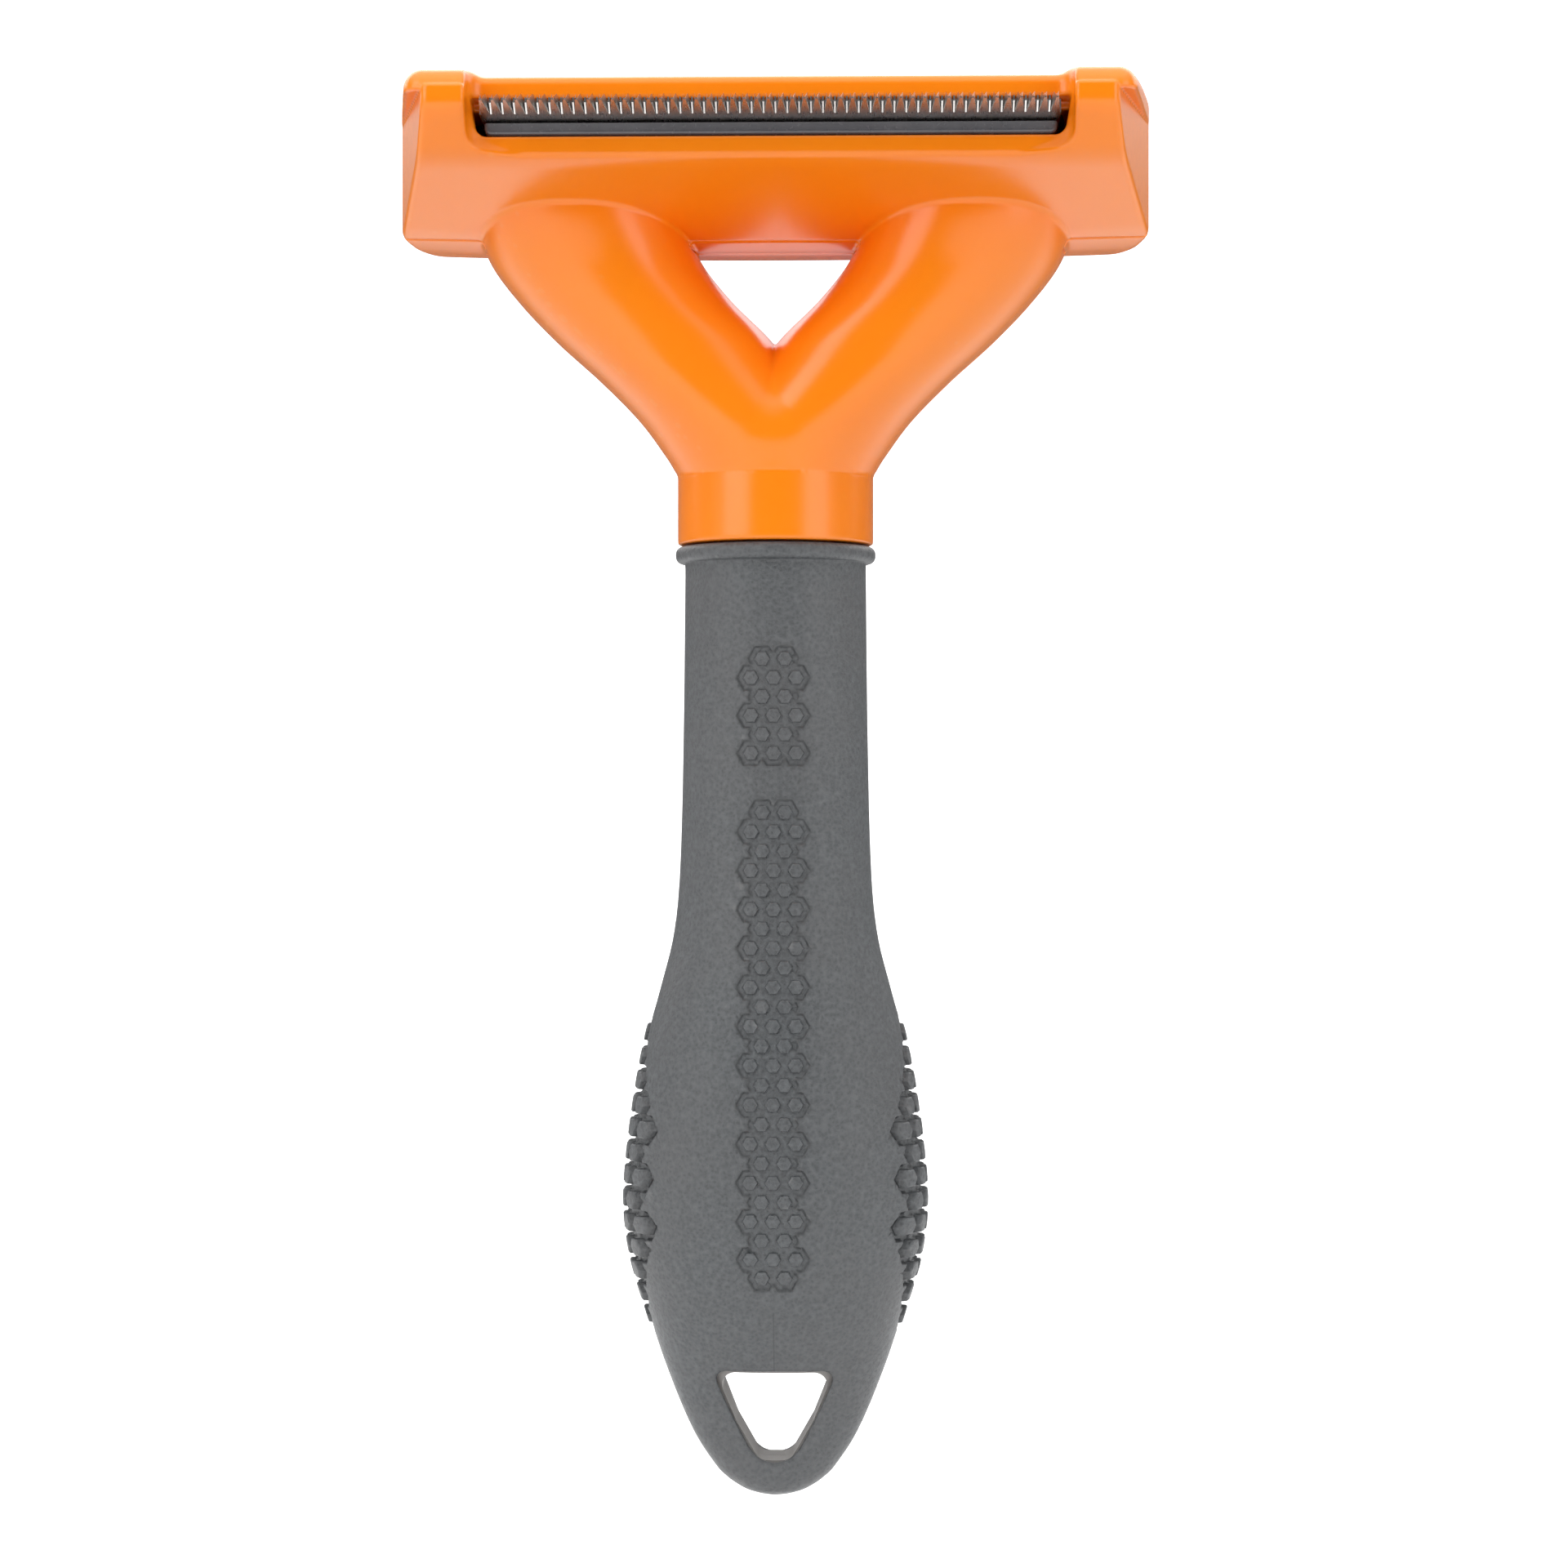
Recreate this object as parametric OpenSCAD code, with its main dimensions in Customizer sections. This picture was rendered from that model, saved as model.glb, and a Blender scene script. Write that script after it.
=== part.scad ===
// Deshedding tool: a steel comb blade in a wide two-part head, a hair ejector bar that slides
// under the blade, and a rubber-covered handle with a hang hole.
// Frame, in millimetres: the origin is the centre of the hang hole. +Z runs up the handle to
// the head, +X runs across the head, and +Y points to the back, so the teeth point toward -Y.

/* [Head] */
// Width of the head at the parting line
head_w = 88.4; // [86.5:0.1:88.5]
// Wall thickness of the two orange shells
shell_wall = 2.0; // [1.8:0.1:2.1]
// Half width of the blade opening at its top edge
opening_half_w = 33.8; // [33.5:0.05:34]

/* [Comb blade] */
// Number of teeth in the comb
tooth_count = 49; // [47:1:49]
// Distance from one tooth to the next
tooth_pitch = 1.332; // [1.32:0.001:1.345]
// Depth of the gap between two teeth
tooth_length = 5.5; // [4.5:0.1:6]
// Thickness of the blade
blade_t = 1.5; // [1.2:0.1:1.5]
// Lean of the blade toward the top of the head, in degrees
blade_lean = 6; // [5.5:0.5:6.5]

/* [Hair ejector] */
// Half length of the ejector bar
bar_half_w = 32.4; // [31.5:0.1:32.5]
// Travel of the ejector, from rest to fully pushed
travel = 8; // [6:0.5:8]
// Width of the push button
button_w = 20; // [16:0.5:22]
// Mean radius of the return springs' coils
spring_r = 2.1; // [1.9:0.1:2.2]
// Diameter of the spring wire
spring_wire = 0.6; // [0.5:0.05:0.7]
// Turns in each return spring
spring_turns = 7; // [6:1:8]

/* [Handle] */
// Radius of the round orange collar
collar_r = 11.64; // [11.5:0.01:11.8]
// Radius of the rubber bead under the collar
bead_r = 11.9; // [11.8:0.05:12.2]
// Thickness of the rubber sleeve
sleeve_t = 2.2; // [2:0.1:2.4]
// Wall thickness of the hard handle core
core_wall = 2.2; // [2:0.1:2.4]

/* [Hidden] */
slack = 0.02;
slide_gap = 0.05;
cut = 1;
round_steps = 48;

// Levels along the handle axis
tip_z = -9.4;
grip_top_z = 101.5;
collar_z = 103.85;
collar_top_z = 111.5;
tang_top_z = 119;
head_z = 139.1;
head_top_z = 156.8;
opening_low_z = 148.1;
opening_top_z = 152.5;

// Positions from front (-Y) to back (+Y)
ear_y = -27.5;
nose_y = -23;
seam_y = -4;
back_y = 11;
yoke_seam_y = 0;

// Half widths across the head
ear_inner_x = 34;
nose_half_w = 35.7;

// The blade frame: its XY plane is the blade's underside, and -Y runs out along the teeth
tip_y = -30.67;
tooth_tip_t = 0.35;
blade_rear_y = -9.2;
blade_z = 151 - 30.5 * tan(blade_lean);

// The slider stack under the blade, as heights in the blade frame
plate_top = -0.15;
plate_low = -0.95;
bar_low = -1.85;
washer_top = -1.05;
washer_low = -1.55;

// The guides of the slider
guide_x = [-24, 0, 24];
guide_y = -13.5;
bush_r = 2;
washer_r = 3.4;
rivet_x = [-29, -12, 12, 29];
rivet_y = -18.9;
rivet_head_r = 1.4;

// The button, its base bar and the springs, in the blade frame
carrier_rear_y = -9;
carrier_top = 5.3;
carrier_half_w = 31;
carrier_lug_y = -12;
base_y = 5;
base_t = 3;
base_h = 5.5;
base_half_w = 19;
button_end_y = 20.5;
bar_front_y = -22.7;
bar_rear_y = -20.5;
tongue_rear_y = -17.3;
button_h = 6.4;
button_z = 3.3;
spring_x = 14;
spring_z = 3;
rod_r = 1;
rod_front_y = -10.7;

// Screws
screw_r = 1.25;
screw_head_r = 2.4;
screw_head_h = 1.6;
case_screw_length = 10;
case_screw_seats = [[38, 2, 148.5], [-38, 2, 148.5], [23, 4, 132], [-23, 4, 132]];
neck_screw_seats = [[0, 9.6, 108], [0, 9.6, 114.5]];
carrier_screw_x = 32.6;
carrier_screw_z = 3.15;

// The hang hole's tube in the core, and the rubber lip that covers its ends
hang_tube_wall = 1.5;
sleeve_lip = 0.9;

// Half widths and depths along the handle, each as [height, size]
grip_width = [
    [-9.4, 1.4], [-8.6, 3.7], [-6.1, 6.8], [-1.7, 9.6], [6, 12.9], [12.9, 15.3], [18.7, 17.1],
    [24.6, 18.05], [30, 17.9], [38, 16.9], [45, 15.5], [51, 13.7], [57, 12.2], [64, 11.45],
    [80, 11], [102, 10.65]
];
grip_front = [
    [-9.4, 1.2], [-8.6, 2.8], [-6, 4], [0, 4.9], [6, 6.6], [13, 9.6], [24.6, 12.4], [36, 12.8],
    [48, 11.8], [60, 10.6], [76, 9.5], [90, 10.1], [102, 10.65]
];
grip_back = [
    [-9.4, 1.2], [-8.6, 2.8], [-6, 4], [0, 4.9], [8, 6.6], [20, 10.5], [32, 13.2], [44, 13.4],
    [58, 11.4], [75, 10.3], [90, 10.3], [102, 10.65]
];
yoke_width = [
    [110, 11.3], [111.5, 11.55], [114, 12.9], [118.4, 16.2], [123.1, 20.8], [127.8, 26], [132.5, 30.5],
    [137.1, 33.9], [146, 36]
];
yoke_front = [[110, 11.4], [111.5, 11.4], [118, 11.8], [127, 12], [135, 12.6], [142, 13.8], [146, 14]];
yoke_back = [[110, 11.4], [111.5, 11.4], [118, 10.4], [127, 9], [135, 8.6], [146, 8.6]];

orange = [1, 0.5, 0.07];
steel = [0.7, 0.7, 0.72];
dark_grey = [0.3, 0.32, 0.33];
black = [0.09, 0.09, 0.1];
light_grey = [0.8, 0.8, 0.79];

// ---------- Curves ----------

// Index of the last key at or below height z
function key_below(keys, z) = max([for (i = [0 : len(keys) - 2]) (keys[i][0] <= z) ? i : 0]);

// Slope of the curve at key i, taken from its neighbours
function key_slope(keys, i) =
    let (low = keys[max(i - 1, 0)], high = keys[min(i + 1, len(keys) - 1)])
    (high[1] - low[1]) / (high[0] - low[0]);

// Value at height z of a smooth curve through [height, value] keys
function smooth_value(keys, z) =
    let (
        i = key_below(keys, z),
        span = keys[i + 1][0] - keys[i][0],
        t = (z - keys[i][0]) / span,
        rise = keys[i + 1][1] - keys[i][1]
    )
    keys[i][1]
        + rise * t * t * (3 - 2 * t)
        + span * key_slope(keys, i) * t * (1 - t) * (1 - t)
        - span * key_slope(keys, i + 1) * t * t * (1 - t);

// One level outline with its own half width and its own front and back depths.
// A squareness of 1 is an ellipse; less than 1 fills the corners out.
function level_ring(z, half_w, front, back, squareness, steps) = [
    for (i = [0 : steps - 1])
        let (
            across = cos(360 * i / steps),
            along = sin(360 * i / steps),
            depth = (along < 0) ? front : back
        )
        [
            half_w * sign(across) * pow(abs(across), squareness),
            depth * sign(along) * pow(abs(along), squareness),
            z
        ]
];

function grip_ring(z, inset) = level_ring(
    z,
    smooth_value(grip_width, z) - inset,
    smooth_value(grip_front, z) - inset,
    smooth_value(grip_back, z) - inset,
    0.93,
    32
);

function yoke_ring(z, inset) = level_ring(
    z,
    smooth_value(yoke_width, z) - inset,
    smooth_value(yoke_front, z) - inset,
    smooth_value(yoke_back, z) - inset,
    1 - 0.2 * max(0, min(1, (z - collar_top_z) / 12)),
    40
);

// A solid skin over a stack of rings, listed from the lowest to the highest
module loft(rings) {
    count = len(rings[0]);
    points = [for (ring = rings) each ring];
    sides = [
        for (level = [0 : len(rings) - 2], i = [0 : count - 1])
            let (a = level * count + i, b = level * count + (i + 1) % count)
            each [[a, a + count, b + count], [a, b + count, b]]
    ];
    bottom = [for (i = [0 : count - 1]) i];
    top = [for (i = [count - 1 : -1 : 0]) (len(rings) - 1) * count + i];
    polyhedron(points, concat([bottom, top], sides), convexity = 6);
}

// ---------- Placing helpers ----------

// Children are drawn in the blade frame
module in_blade_frame() {
    translate([0, 0, blade_z]) rotate([-blade_lean, 0, 0]) children();
}

// Extrudes a YZ outline along X, centred
module along_x(length) {
    rotate([90, 0, 90]) linear_extrude(length, center = true) children();
}

// Extrudes an XZ outline along Y, from y0 to y1
module along_y(y0, y1) {
    translate([0, y1, 0]) rotate([90, 0, 0]) linear_extrude(y1 - y0) children();
}

// A pan-head screw whose seat is the origin, its shank along -Z, with a cross recess
module screw(length, shank_r = screw_r, head_r = screw_head_r, head_h = screw_head_h) {
    slot_w = head_r * 0.3;
    slot_l = head_r * 1.1;
    difference() {
        union() {
            translate([0, 0, -length]) cylinder(h = length, r = shank_r, $fn = round_steps);
            cylinder(h = head_h, r1 = head_r, r2 = head_r * 0.86, $fn = round_steps);
        }
        translate([-slot_l / 2, -slot_w / 2, head_h * 0.45]) cube([slot_l, slot_w, head_h]);
        translate([-slot_w / 2, -slot_l / 2, head_h * 0.45]) cube([slot_w, slot_l, head_h]);
    }
}

// The same screw seated at a point with its shank toward -Y
module screw_from_back(seat, length) {
    translate(seat) rotate([-90, 0, 0]) screw(length);
}

// ---------- Head outlines ----------

// Side outline of the head through its ears
module ear_profile() {
    polygon([
        [seam_y, head_z], [-13, 142.1], [-21.5, 145.4], [-25.3, 148.4], [-27, 151],
        [ear_y, 152], [ear_y, 153.5],
        [-25.3, 155], [-14, head_top_z], [6, head_top_z], [9.6, 155.4], [back_y, 152],
        [back_y, 144], [9.6, 140.4], [6, 138.2], [3, 138]
    ]);
}

// Side outline of the nose between the ears
module nose_profile() {
    polygon([
        [seam_y, head_z], [-13, 142.1], [-21.5, 145.4], [nose_y, 146.6], [nose_y, 154.7],
        [-22.4, 155.2], [-14, head_top_z], [seam_y, head_top_z]
    ]);
}

// Plan outline of the head: it widens to the parting line and rounds off at the back
module plan_profile(inset = 0) {
    half = head_w / 2;
    offset(delta = -inset) offset(r = 1.5) offset(delta = -1.5) polygon([
        [-half + 4.3, ear_y], [half - 4.3, ear_y], [half, seam_y], [half - 1.2, 5],
        [half - 7, 9.6], [half - 20, back_y], [-half + 20, back_y], [-half + 7, 9.6],
        [-half + 1.2, 5], [-half, seam_y]
    ]);
}

// Front outline of the head, with rounded upper corners and bowed lower corners
module front_profile(inset = 0) {
    half = head_w / 2;
    offset(delta = -inset) offset(r = 2) offset(delta = -2) polygon([
        [-half, 143], [-half + 1, 140.4], [-half + 4, 139], [-half + 20, 137.9],
        [half - 20, 137.9], [half - 4, 139], [half - 1, 140.4], [half, 143],
        [half, head_top_z], [-half, head_top_z]
    ]);
}

// The outside of the head; with an inset it is the inside of its walls
module head_block(inset = 0) {
    intersection() {
        union() {
            difference() {
                along_x(2 * head_w) offset(delta = -inset) ear_profile();
                translate([-ear_inner_x - inset, ear_y - cut, head_z - 3])
                    cube([2 * (ear_inner_x + inset), nose_y + inset - ear_y + cut, 30]);
            }
            along_x(2 * (nose_half_w - inset)) offset(delta = -inset) nose_profile();
        }
        translate([0, 0, head_z - 3]) linear_extrude(30) plan_profile(inset);
        along_y(ear_y - cut, back_y + cut) front_profile(inset);
    }
}

// The mouth the blade and the ejector bar reach out of
module blade_opening() {
    along_y(ear_y - cut, nose_y + shell_wall + cut) offset(r = 0.9) offset(delta = -0.9) polygon([
        [-opening_half_w, opening_top_z], [-opening_half_w + 0.6, opening_low_z],
        [opening_half_w - 0.6, opening_low_z], [opening_half_w, opening_top_z]
    ]);
}

// ---------- Neck and yoke ----------

yoke_levels = [110, 112, 114, 117, 120, 123.5, 127, 130.5, 134, 137.5, 141, 145];

module yoke_block(inset = 0) {
    loft([for (z = yoke_levels) yoke_ring(z, inset)]);
}

// The rounded three-sided window between the two arms of the yoke
module window(grow = 0) {
    along_y(-20, 20) offset(r = 1.2 + grow) polygon([
        [0, 128.9], [8.3, 137.6], [-8.3, 137.6]
    ]);
}

// The outside of both orange shells together
module shell_block() {
    difference() {
        union() {
            head_block();
            yoke_block();
            translate([0, 0, collar_z])
                cylinder(h = collar_top_z - collar_z, r = collar_r, $fn = 96);
        }
        window();
    }
}

// The hollow inside the shells, with the tang's socket below it
module shell_hollow() {
    head_block(shell_wall);
    difference() {
        loft([for (z = [119, 123.5, 127, 130.5, 134, 137.5, 141, 144]) yoke_ring(z, shell_wall)]);
        window(shell_wall);
        translate([-60, -40, 144.5]) cube([120, 80, 20]);
    }
    translate([0, 0, collar_z - cut])
        cylinder(h = tang_top_z + 1.5 - collar_z, r = 8 + slide_gap, $fn = 64);
}

// Everything on the front side of the parting surface, which steps back below the head
module front_side() {
    step_z = head_z - 0.7;
    translate([-60, -40, step_z - cut]) cube([120, 40 + seam_y, 40]);
    translate([-60, -40, collar_z - cut]) cube([120, 40 + yoke_seam_y, step_z - collar_z + cut]);
}

// ---------- Shells ----------

// Solid posts that meet at the parting surface around each case screw
module case_posts(r) {
    for (seat = case_screw_seats)
        along_y(-19, back_y) translate([seat[0], seat[2]]) circle(r = r, $fn = round_steps);
}

module front_shell() {
    color(orange) difference() {
        intersection() {
            shell_block();
            front_side();
        }
        difference() {
            shell_hollow();
            case_posts(2.9);
            carrier_posts();
        }
        blade_opening();
        for (seat = case_screw_seats)
            translate(seat) rotate([90, 0, 0])
                cylinder(h = case_screw_length + 0.2, r = screw_r + slack, $fn = round_steps);
        in_blade_frame() for (side = [-1, 1])
            translate([side * carrier_screw_x, 0, carrier_screw_z]) rotate([90, 0, 0])
                cylinder(h = 18.2, r = screw_r + slack, $fn = round_steps);
    }
}

// Posts on the front wall that the blade carrier is screwed to, clear of the blade and carrier
module carrier_posts() {
    in_blade_frame() difference() {
        for (side = [-1, 1])
            translate([side * carrier_screw_x, carrier_lug_y, carrier_screw_z]) rotate([90, 0, 0])
                cylinder(h = 12, r = 2.9, $fn = round_steps);
        translate([-carrier_half_w - 0.2, -30, -cut])
            cube([2 * carrier_half_w + 0.4, 22, 10]);
        translate([-33.2, -34, -cut]) cube([66.4, 26, cut + blade_t + 0.1]);
    }
}

module rear_shell() {
    button_gap = 0.3;
    color(orange) difference() {
        shell_block();
        front_side();
        difference() {
            shell_hollow();
            case_posts(3.4);
        }
        for (seat = case_screw_seats) {
            translate(seat) rotate([90, 0, 0])
                translate([0, 0, -cut]) cylinder(h = 14, r = screw_r + 0.15, $fn = round_steps);
            translate(seat) rotate([-90, 0, 0])
                cylinder(h = 14, r = screw_head_r + 0.2, $fn = round_steps);
        }
        for (seat = neck_screw_seats) {
            translate(seat) rotate([90, 0, 0])
                translate([0, 0, -cut]) cylinder(h = 6, r = screw_r + 0.15, $fn = round_steps);
            translate(seat) rotate([-90, 0, 0])
                cylinder(h = 6, r = screw_head_r + 0.2, $fn = round_steps);
        }
        in_blade_frame() translate([0, 3, button_z]) rotate([-90, 0, 0])
            linear_extrude(20) button_outline(button_gap);
    }
}

// ---------- Blade and its carrier ----------

// Outline of the comb: straight sides and back, and a row of narrow pointed teeth
module comb_outline() {
    half = tooth_count * tooth_pitch / 2;
    tip_half = 0.17;
    root_half = 0.46;
    root_y = tip_y + tooth_length;
    teeth = [
        for (i = [0 : tooth_count - 1])
            let (x = -half + (i + 0.5) * tooth_pitch)
            each [[x - root_half, root_y], [x - tip_half, tip_y], [x + tip_half, tip_y],
                [x + root_half, root_y]]
    ];
    polygon(concat(
        [[half, root_y], [half, blade_rear_y], [-half, blade_rear_y], [-half, root_y]],
        teeth
    ));
}

module comb_blade() {
    color(steel) in_blade_frame() difference() {
        linear_extrude(blade_t) comb_outline();
        for (x = guide_x)
            translate([x, guide_y, -cut])
                cylinder(h = 4, r = screw_r + slack, $fn = round_steps);
        // the ground slope on top of the tooth points
        translate([0, tip_y, tooth_tip_t]) rotate([26, 0, 0])
            translate([-40, -4, 0]) cube([80, 7.2, 4]);
    }
}

module blade_carrier() {
    color(black) in_blade_frame() difference() {
        union() {
            along_x(2 * carrier_half_w) polygon([
                [-21.2, 0.5], [carrier_rear_y, 0.5], [carrier_rear_y, carrier_top],
                [-15, carrier_top], [-18.5, 4.1], [-21.2, 2.8]
            ]);
            translate([-35, carrier_lug_y, 0.8])
                cube([70, carrier_rear_y - carrier_lug_y, carrier_top - 0.9]);
        }
        // the blade passes under the whole block
        translate([-33.4, -26, -cut]) cube([66.8, 30, cut + blade_t]);
        for (x = guide_x)
            translate([x, guide_y, 0]) cylinder(h = 5, r = screw_r + slack, $fn = round_steps);
        for (side = [-1, 1]) {
            translate([side * carrier_screw_x, 0, carrier_screw_z]) rotate([90, 0, 0])
                cylinder(h = 20, r = screw_r + 0.15, $fn = round_steps);
            translate([side * spring_x, rod_front_y - travel - 0.5, spring_z]) rotate([-90, 0, 0])
                cylinder(h = 20, r = rod_r + slide_gap, $fn = round_steps);
        }
    }
}

module carrier_screws() {
    color(steel) in_blade_frame() for (side = [-1, 1])
        screw_from_back([side * carrier_screw_x, carrier_rear_y, carrier_screw_z], 9);
}

module guide_bushes() {
    color(steel) in_blade_frame() for (x = guide_x)
        translate([x, guide_y, washer_top]) difference() {
            cylinder(h = -washer_top, r = bush_r, $fn = round_steps);
            translate([0, 0, -cut]) cylinder(h = 4, r = screw_r + slack, $fn = round_steps);
        }
}

module bush_washers() {
    color(steel) in_blade_frame() for (x = guide_x)
        translate([x, guide_y, washer_low]) difference() {
            cylinder(h = washer_top - washer_low, r = washer_r, $fn = round_steps);
            translate([0, 0, -cut]) cylinder(h = 4, r = screw_r + slack, $fn = round_steps);
        }
}

module blade_screws() {
    color(steel) in_blade_frame() for (x = guide_x)
        translate([x, guide_y, washer_low]) rotate([180, 0, 0]) screw(6.2, head_h = 1.2);
}

// ---------- Hair ejector ----------

// A slot for a bush, as long as the travel
module guide_slot(x) {
    r = bush_r + slide_gap;
    translate([x, guide_y, plate_low - cut]) {
        cylinder(h = 4, r = r, $fn = round_steps);
        translate([-r, 0, 0]) cube([2 * r, travel, 4]);
        translate([0, travel, 0]) cylinder(h = 4, r = r, $fn = round_steps);
    }
}

module ejector_slider() {
    tail_half_w = 17;
    tail_end_y = base_y + base_t;
    color(steel) in_blade_frame() difference() {
        translate([0, 0, plate_low]) linear_extrude(plate_top - plate_low) polygon([
            [-31.5, bar_rear_y + slide_gap], [31.5, bar_rear_y + slide_gap], [31.5, -3.5],
            [29.5, -1.5], [tail_half_w, -1.5], [tail_half_w, tail_end_y],
            [-tail_half_w, tail_end_y], [-tail_half_w, -1.5], [-29.5, -1.5], [-31.5, -3.5]
        ]);
        for (x = guide_x) guide_slot(x);
        for (x = rivet_x)
            translate([x, rivet_y, -3]) cylinder(h = 4, r = 0.9 + slack, $fn = round_steps);
        for (x = [-9, 9])
            translate([x, base_y + base_t / 2, -3])
                cylinder(h = 4, r = screw_r + slack, $fn = round_steps);
    }
}

module ejector_bar() {
    color(dark_grey) in_blade_frame() difference() {
        union() {
            along_y(bar_front_y, bar_rear_y) offset(r = 0.6) offset(delta = -0.6) polygon([
                [-bar_half_w, bar_low], [bar_half_w, bar_low],
                [bar_half_w, plate_top - slide_gap], [-bar_half_w, plate_top - slide_gap]
            ]);
            translate([-31, bar_rear_y - 0.2, bar_low])
                cube([62, tongue_rear_y - bar_rear_y + 0.2, plate_low - bar_low]);
        }
        for (x = rivet_x) translate([x, rivet_y, bar_low - cut]) {
            cylinder(h = 4, r = 0.9 + slack, $fn = round_steps);
            cylinder(h = cut + 0.4, r = rivet_head_r + slack, $fn = round_steps);
        }
    }
}

module bar_rivets() {
    color(steel) in_blade_frame() for (x = rivet_x) translate([x, rivet_y, bar_low]) {
        cylinder(h = plate_top - bar_low, r = 0.9, $fn = round_steps);
        cylinder(h = 0.4, r = rivet_head_r, $fn = round_steps);
    }
}

// The rounded face outline of the button
module button_outline(grow = 0) {
    r = button_h / 2;
    for (side = [-1, 1])
        translate([side * (button_w / 2 - r), 0]) circle(r = r + grow, $fn = round_steps);
    square([button_w - 2 * r, 2 * (r + grow)], center = true);
}

module eject_button() {
    color(dark_grey) in_blade_frame() difference() {
        union() {
            translate([-base_half_w, base_y, plate_top])
                cube([2 * base_half_w, base_t, base_h]);
            translate([0, base_y + base_t / 2, button_z]) rotate([-90, 0, 0])
                linear_extrude(button_end_y - base_y - base_t / 2) button_outline();
        }
        // a shallow dish for the thumb
        translate([0, button_end_y + 28.8, button_z]) rotate([0, 90, 0])
            cylinder(h = 40, r = 30, center = true, $fn = 96);
        for (x = [-9, 9])
            translate([x, base_y + base_t / 2, -1])
                cylinder(h = 5, r = screw_r + slack, $fn = round_steps);
        for (side = [-1, 1])
            translate([side * spring_x, base_y - cut, spring_z]) rotate([-90, 0, 0])
                cylinder(h = base_t + 2 * cut, r = rod_r + slack, $fn = round_steps);
    }
}

module button_screw() {
    color(steel) in_blade_frame() for (x = [-9, 9])
        translate([x, base_y + base_t / 2, plate_low]) rotate([180, 0, 0])
            screw(4.2, head_r = 2, head_h = 1.1);
}

module spring_rods() {
    color(steel) in_blade_frame() for (side = [-1, 1])
        translate([side * spring_x, rod_front_y, spring_z]) rotate([-90, 0, 0])
            cylinder(h = base_y + base_t - rod_front_y, r = rod_r, $fn = round_steps);
}

// One return spring along +Y, wound around its rod between the carrier and the base bar
module return_spring(side) {
    wire_r = spring_wire / 2;
    room = base_y - carrier_rear_y - spring_wire - 0.1;
    steps = 16;
    count = spring_turns * steps;
    facets = 8;
    rings = [
        for (i = [0 : count])
            let (angle = 360 * i / steps, y = room * i / count)
            [
                for (k = [0 : facets - 1])
                    let (r = spring_r + wire_r * cos(360 * k / facets))
                    [r * cos(angle), r * sin(angle), y + wire_r * sin(360 * k / facets)]
            ]
    ];
    color(steel) in_blade_frame()
        translate([side * spring_x, carrier_rear_y + wire_r + 0.05, spring_z]) rotate([-90, 0, 0])
            loft(rings);
}

module spring_left() return_spring(-1);

module spring_right() return_spring(1);

// ---------- Case and neck fasteners ----------

module case_screws() {
    color(steel) for (seat = case_screw_seats) screw_from_back(seat, case_screw_length);
}

module neck_screws() {
    color(steel) for (seat = neck_screw_seats) screw_from_back(seat, 7);
}

// ---------- Handle ----------

// The rounded three-sided hang hole
module hang_outline(grow) {
    offset(r = 1.6 + grow, $fn = 64) polygon([
        [-4.6, 4.3], [-3.1, 0.6], [-0.9, -3.2], [0.9, -3.2], [3.1, 0.6], [4.6, 4.3]
    ]);
}

// Heights of the rings of the handle, closer together at the small end
function grip_levels(z0, z1, steps) = [
    for (i = [0 : steps]) z0 + (z1 - z0) * pow(i / steps, 1.5)
];

module core_outside(inset) {
    loft([for (z = grip_levels(-6.8, grip_top_z - 1, 20)) grip_ring(z, inset)]);
}

// The tube around the hang hole, which ends just under the sleeve's surface
module hang_tube(gap) {
    intersection() {
        along_y(-8, 8) hang_outline(hang_tube_wall - gap);
        loft([for (z = [-7.5 : 1.5 : 9]) grip_ring(z, sleeve_lip + gap)]);
    }
}

module core_solid() {
    hollow_levels = [14, 20, 26, 32, 38, 44, 50, 56, 64, 74, 84, 94];
    difference() {
        union() {
            core_outside(sleeve_t + slack);
            hang_tube(slack);
            translate([0, 0, grip_top_z - 2]) cylinder(h = tang_top_z - grip_top_z + 2, r = 8);
            translate([0, 0, grip_top_z - 1]) cylinder(h = 3.2, r = 8.2);
        }
        along_y(-8, 8) hang_outline(0);
        loft([for (z = hollow_levels) grip_ring(z, sleeve_t + core_wall)]);
        translate([0, 0, 92]) cylinder(h = 14, r = 4.5, $fn = round_steps);
        translate([0, 0, 104]) cylinder(h = 20, r = 2.6, $fn = round_steps);
        for (seat = neck_screw_seats)
            translate(seat) rotate([90, 0, 0])
                cylinder(h = 7.4, r = screw_r + slack, $fn = round_steps);
    }
}

module core_front_half() {
    color(light_grey) intersection() {
        core_solid($fn = 64);
        translate([-30, -30, -20]) cube([60, 30 - slack, 160]);
    }
}

module core_rear_half() {
    color(light_grey) intersection() {
        core_solid($fn = 64);
        translate([-30, slack, -20]) cube([60, 30, 160]);
    }
}

// The soft sleeve: one thick skin from the tip to the bead under the collar
module grip_sleeve() {
    bead_half_h = 1.1;
    color(dark_grey) difference() {
        union() {
            loft([for (z = grip_levels(tip_z, grip_top_z, 26)) grip_ring(z, 0)]);
            translate([0, 0, grip_top_z + bead_half_h]) rotate_extrude($fn = 96) {
                translate([bead_r - bead_half_h, 0]) circle(r = bead_half_h, $fn = 24);
                translate([6, -bead_half_h]) square([bead_r - bead_half_h - 6, 2 * bead_half_h]);
            }
        }
        core_outside(sleeve_t);
        hang_tube(0);
        along_y(-8, 8) hang_outline(0.2);
        translate([0, 0, grip_top_z - 2]) cylinder(h = 10, r = 8.2 + slack, $fn = 64);
    }
}

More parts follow.
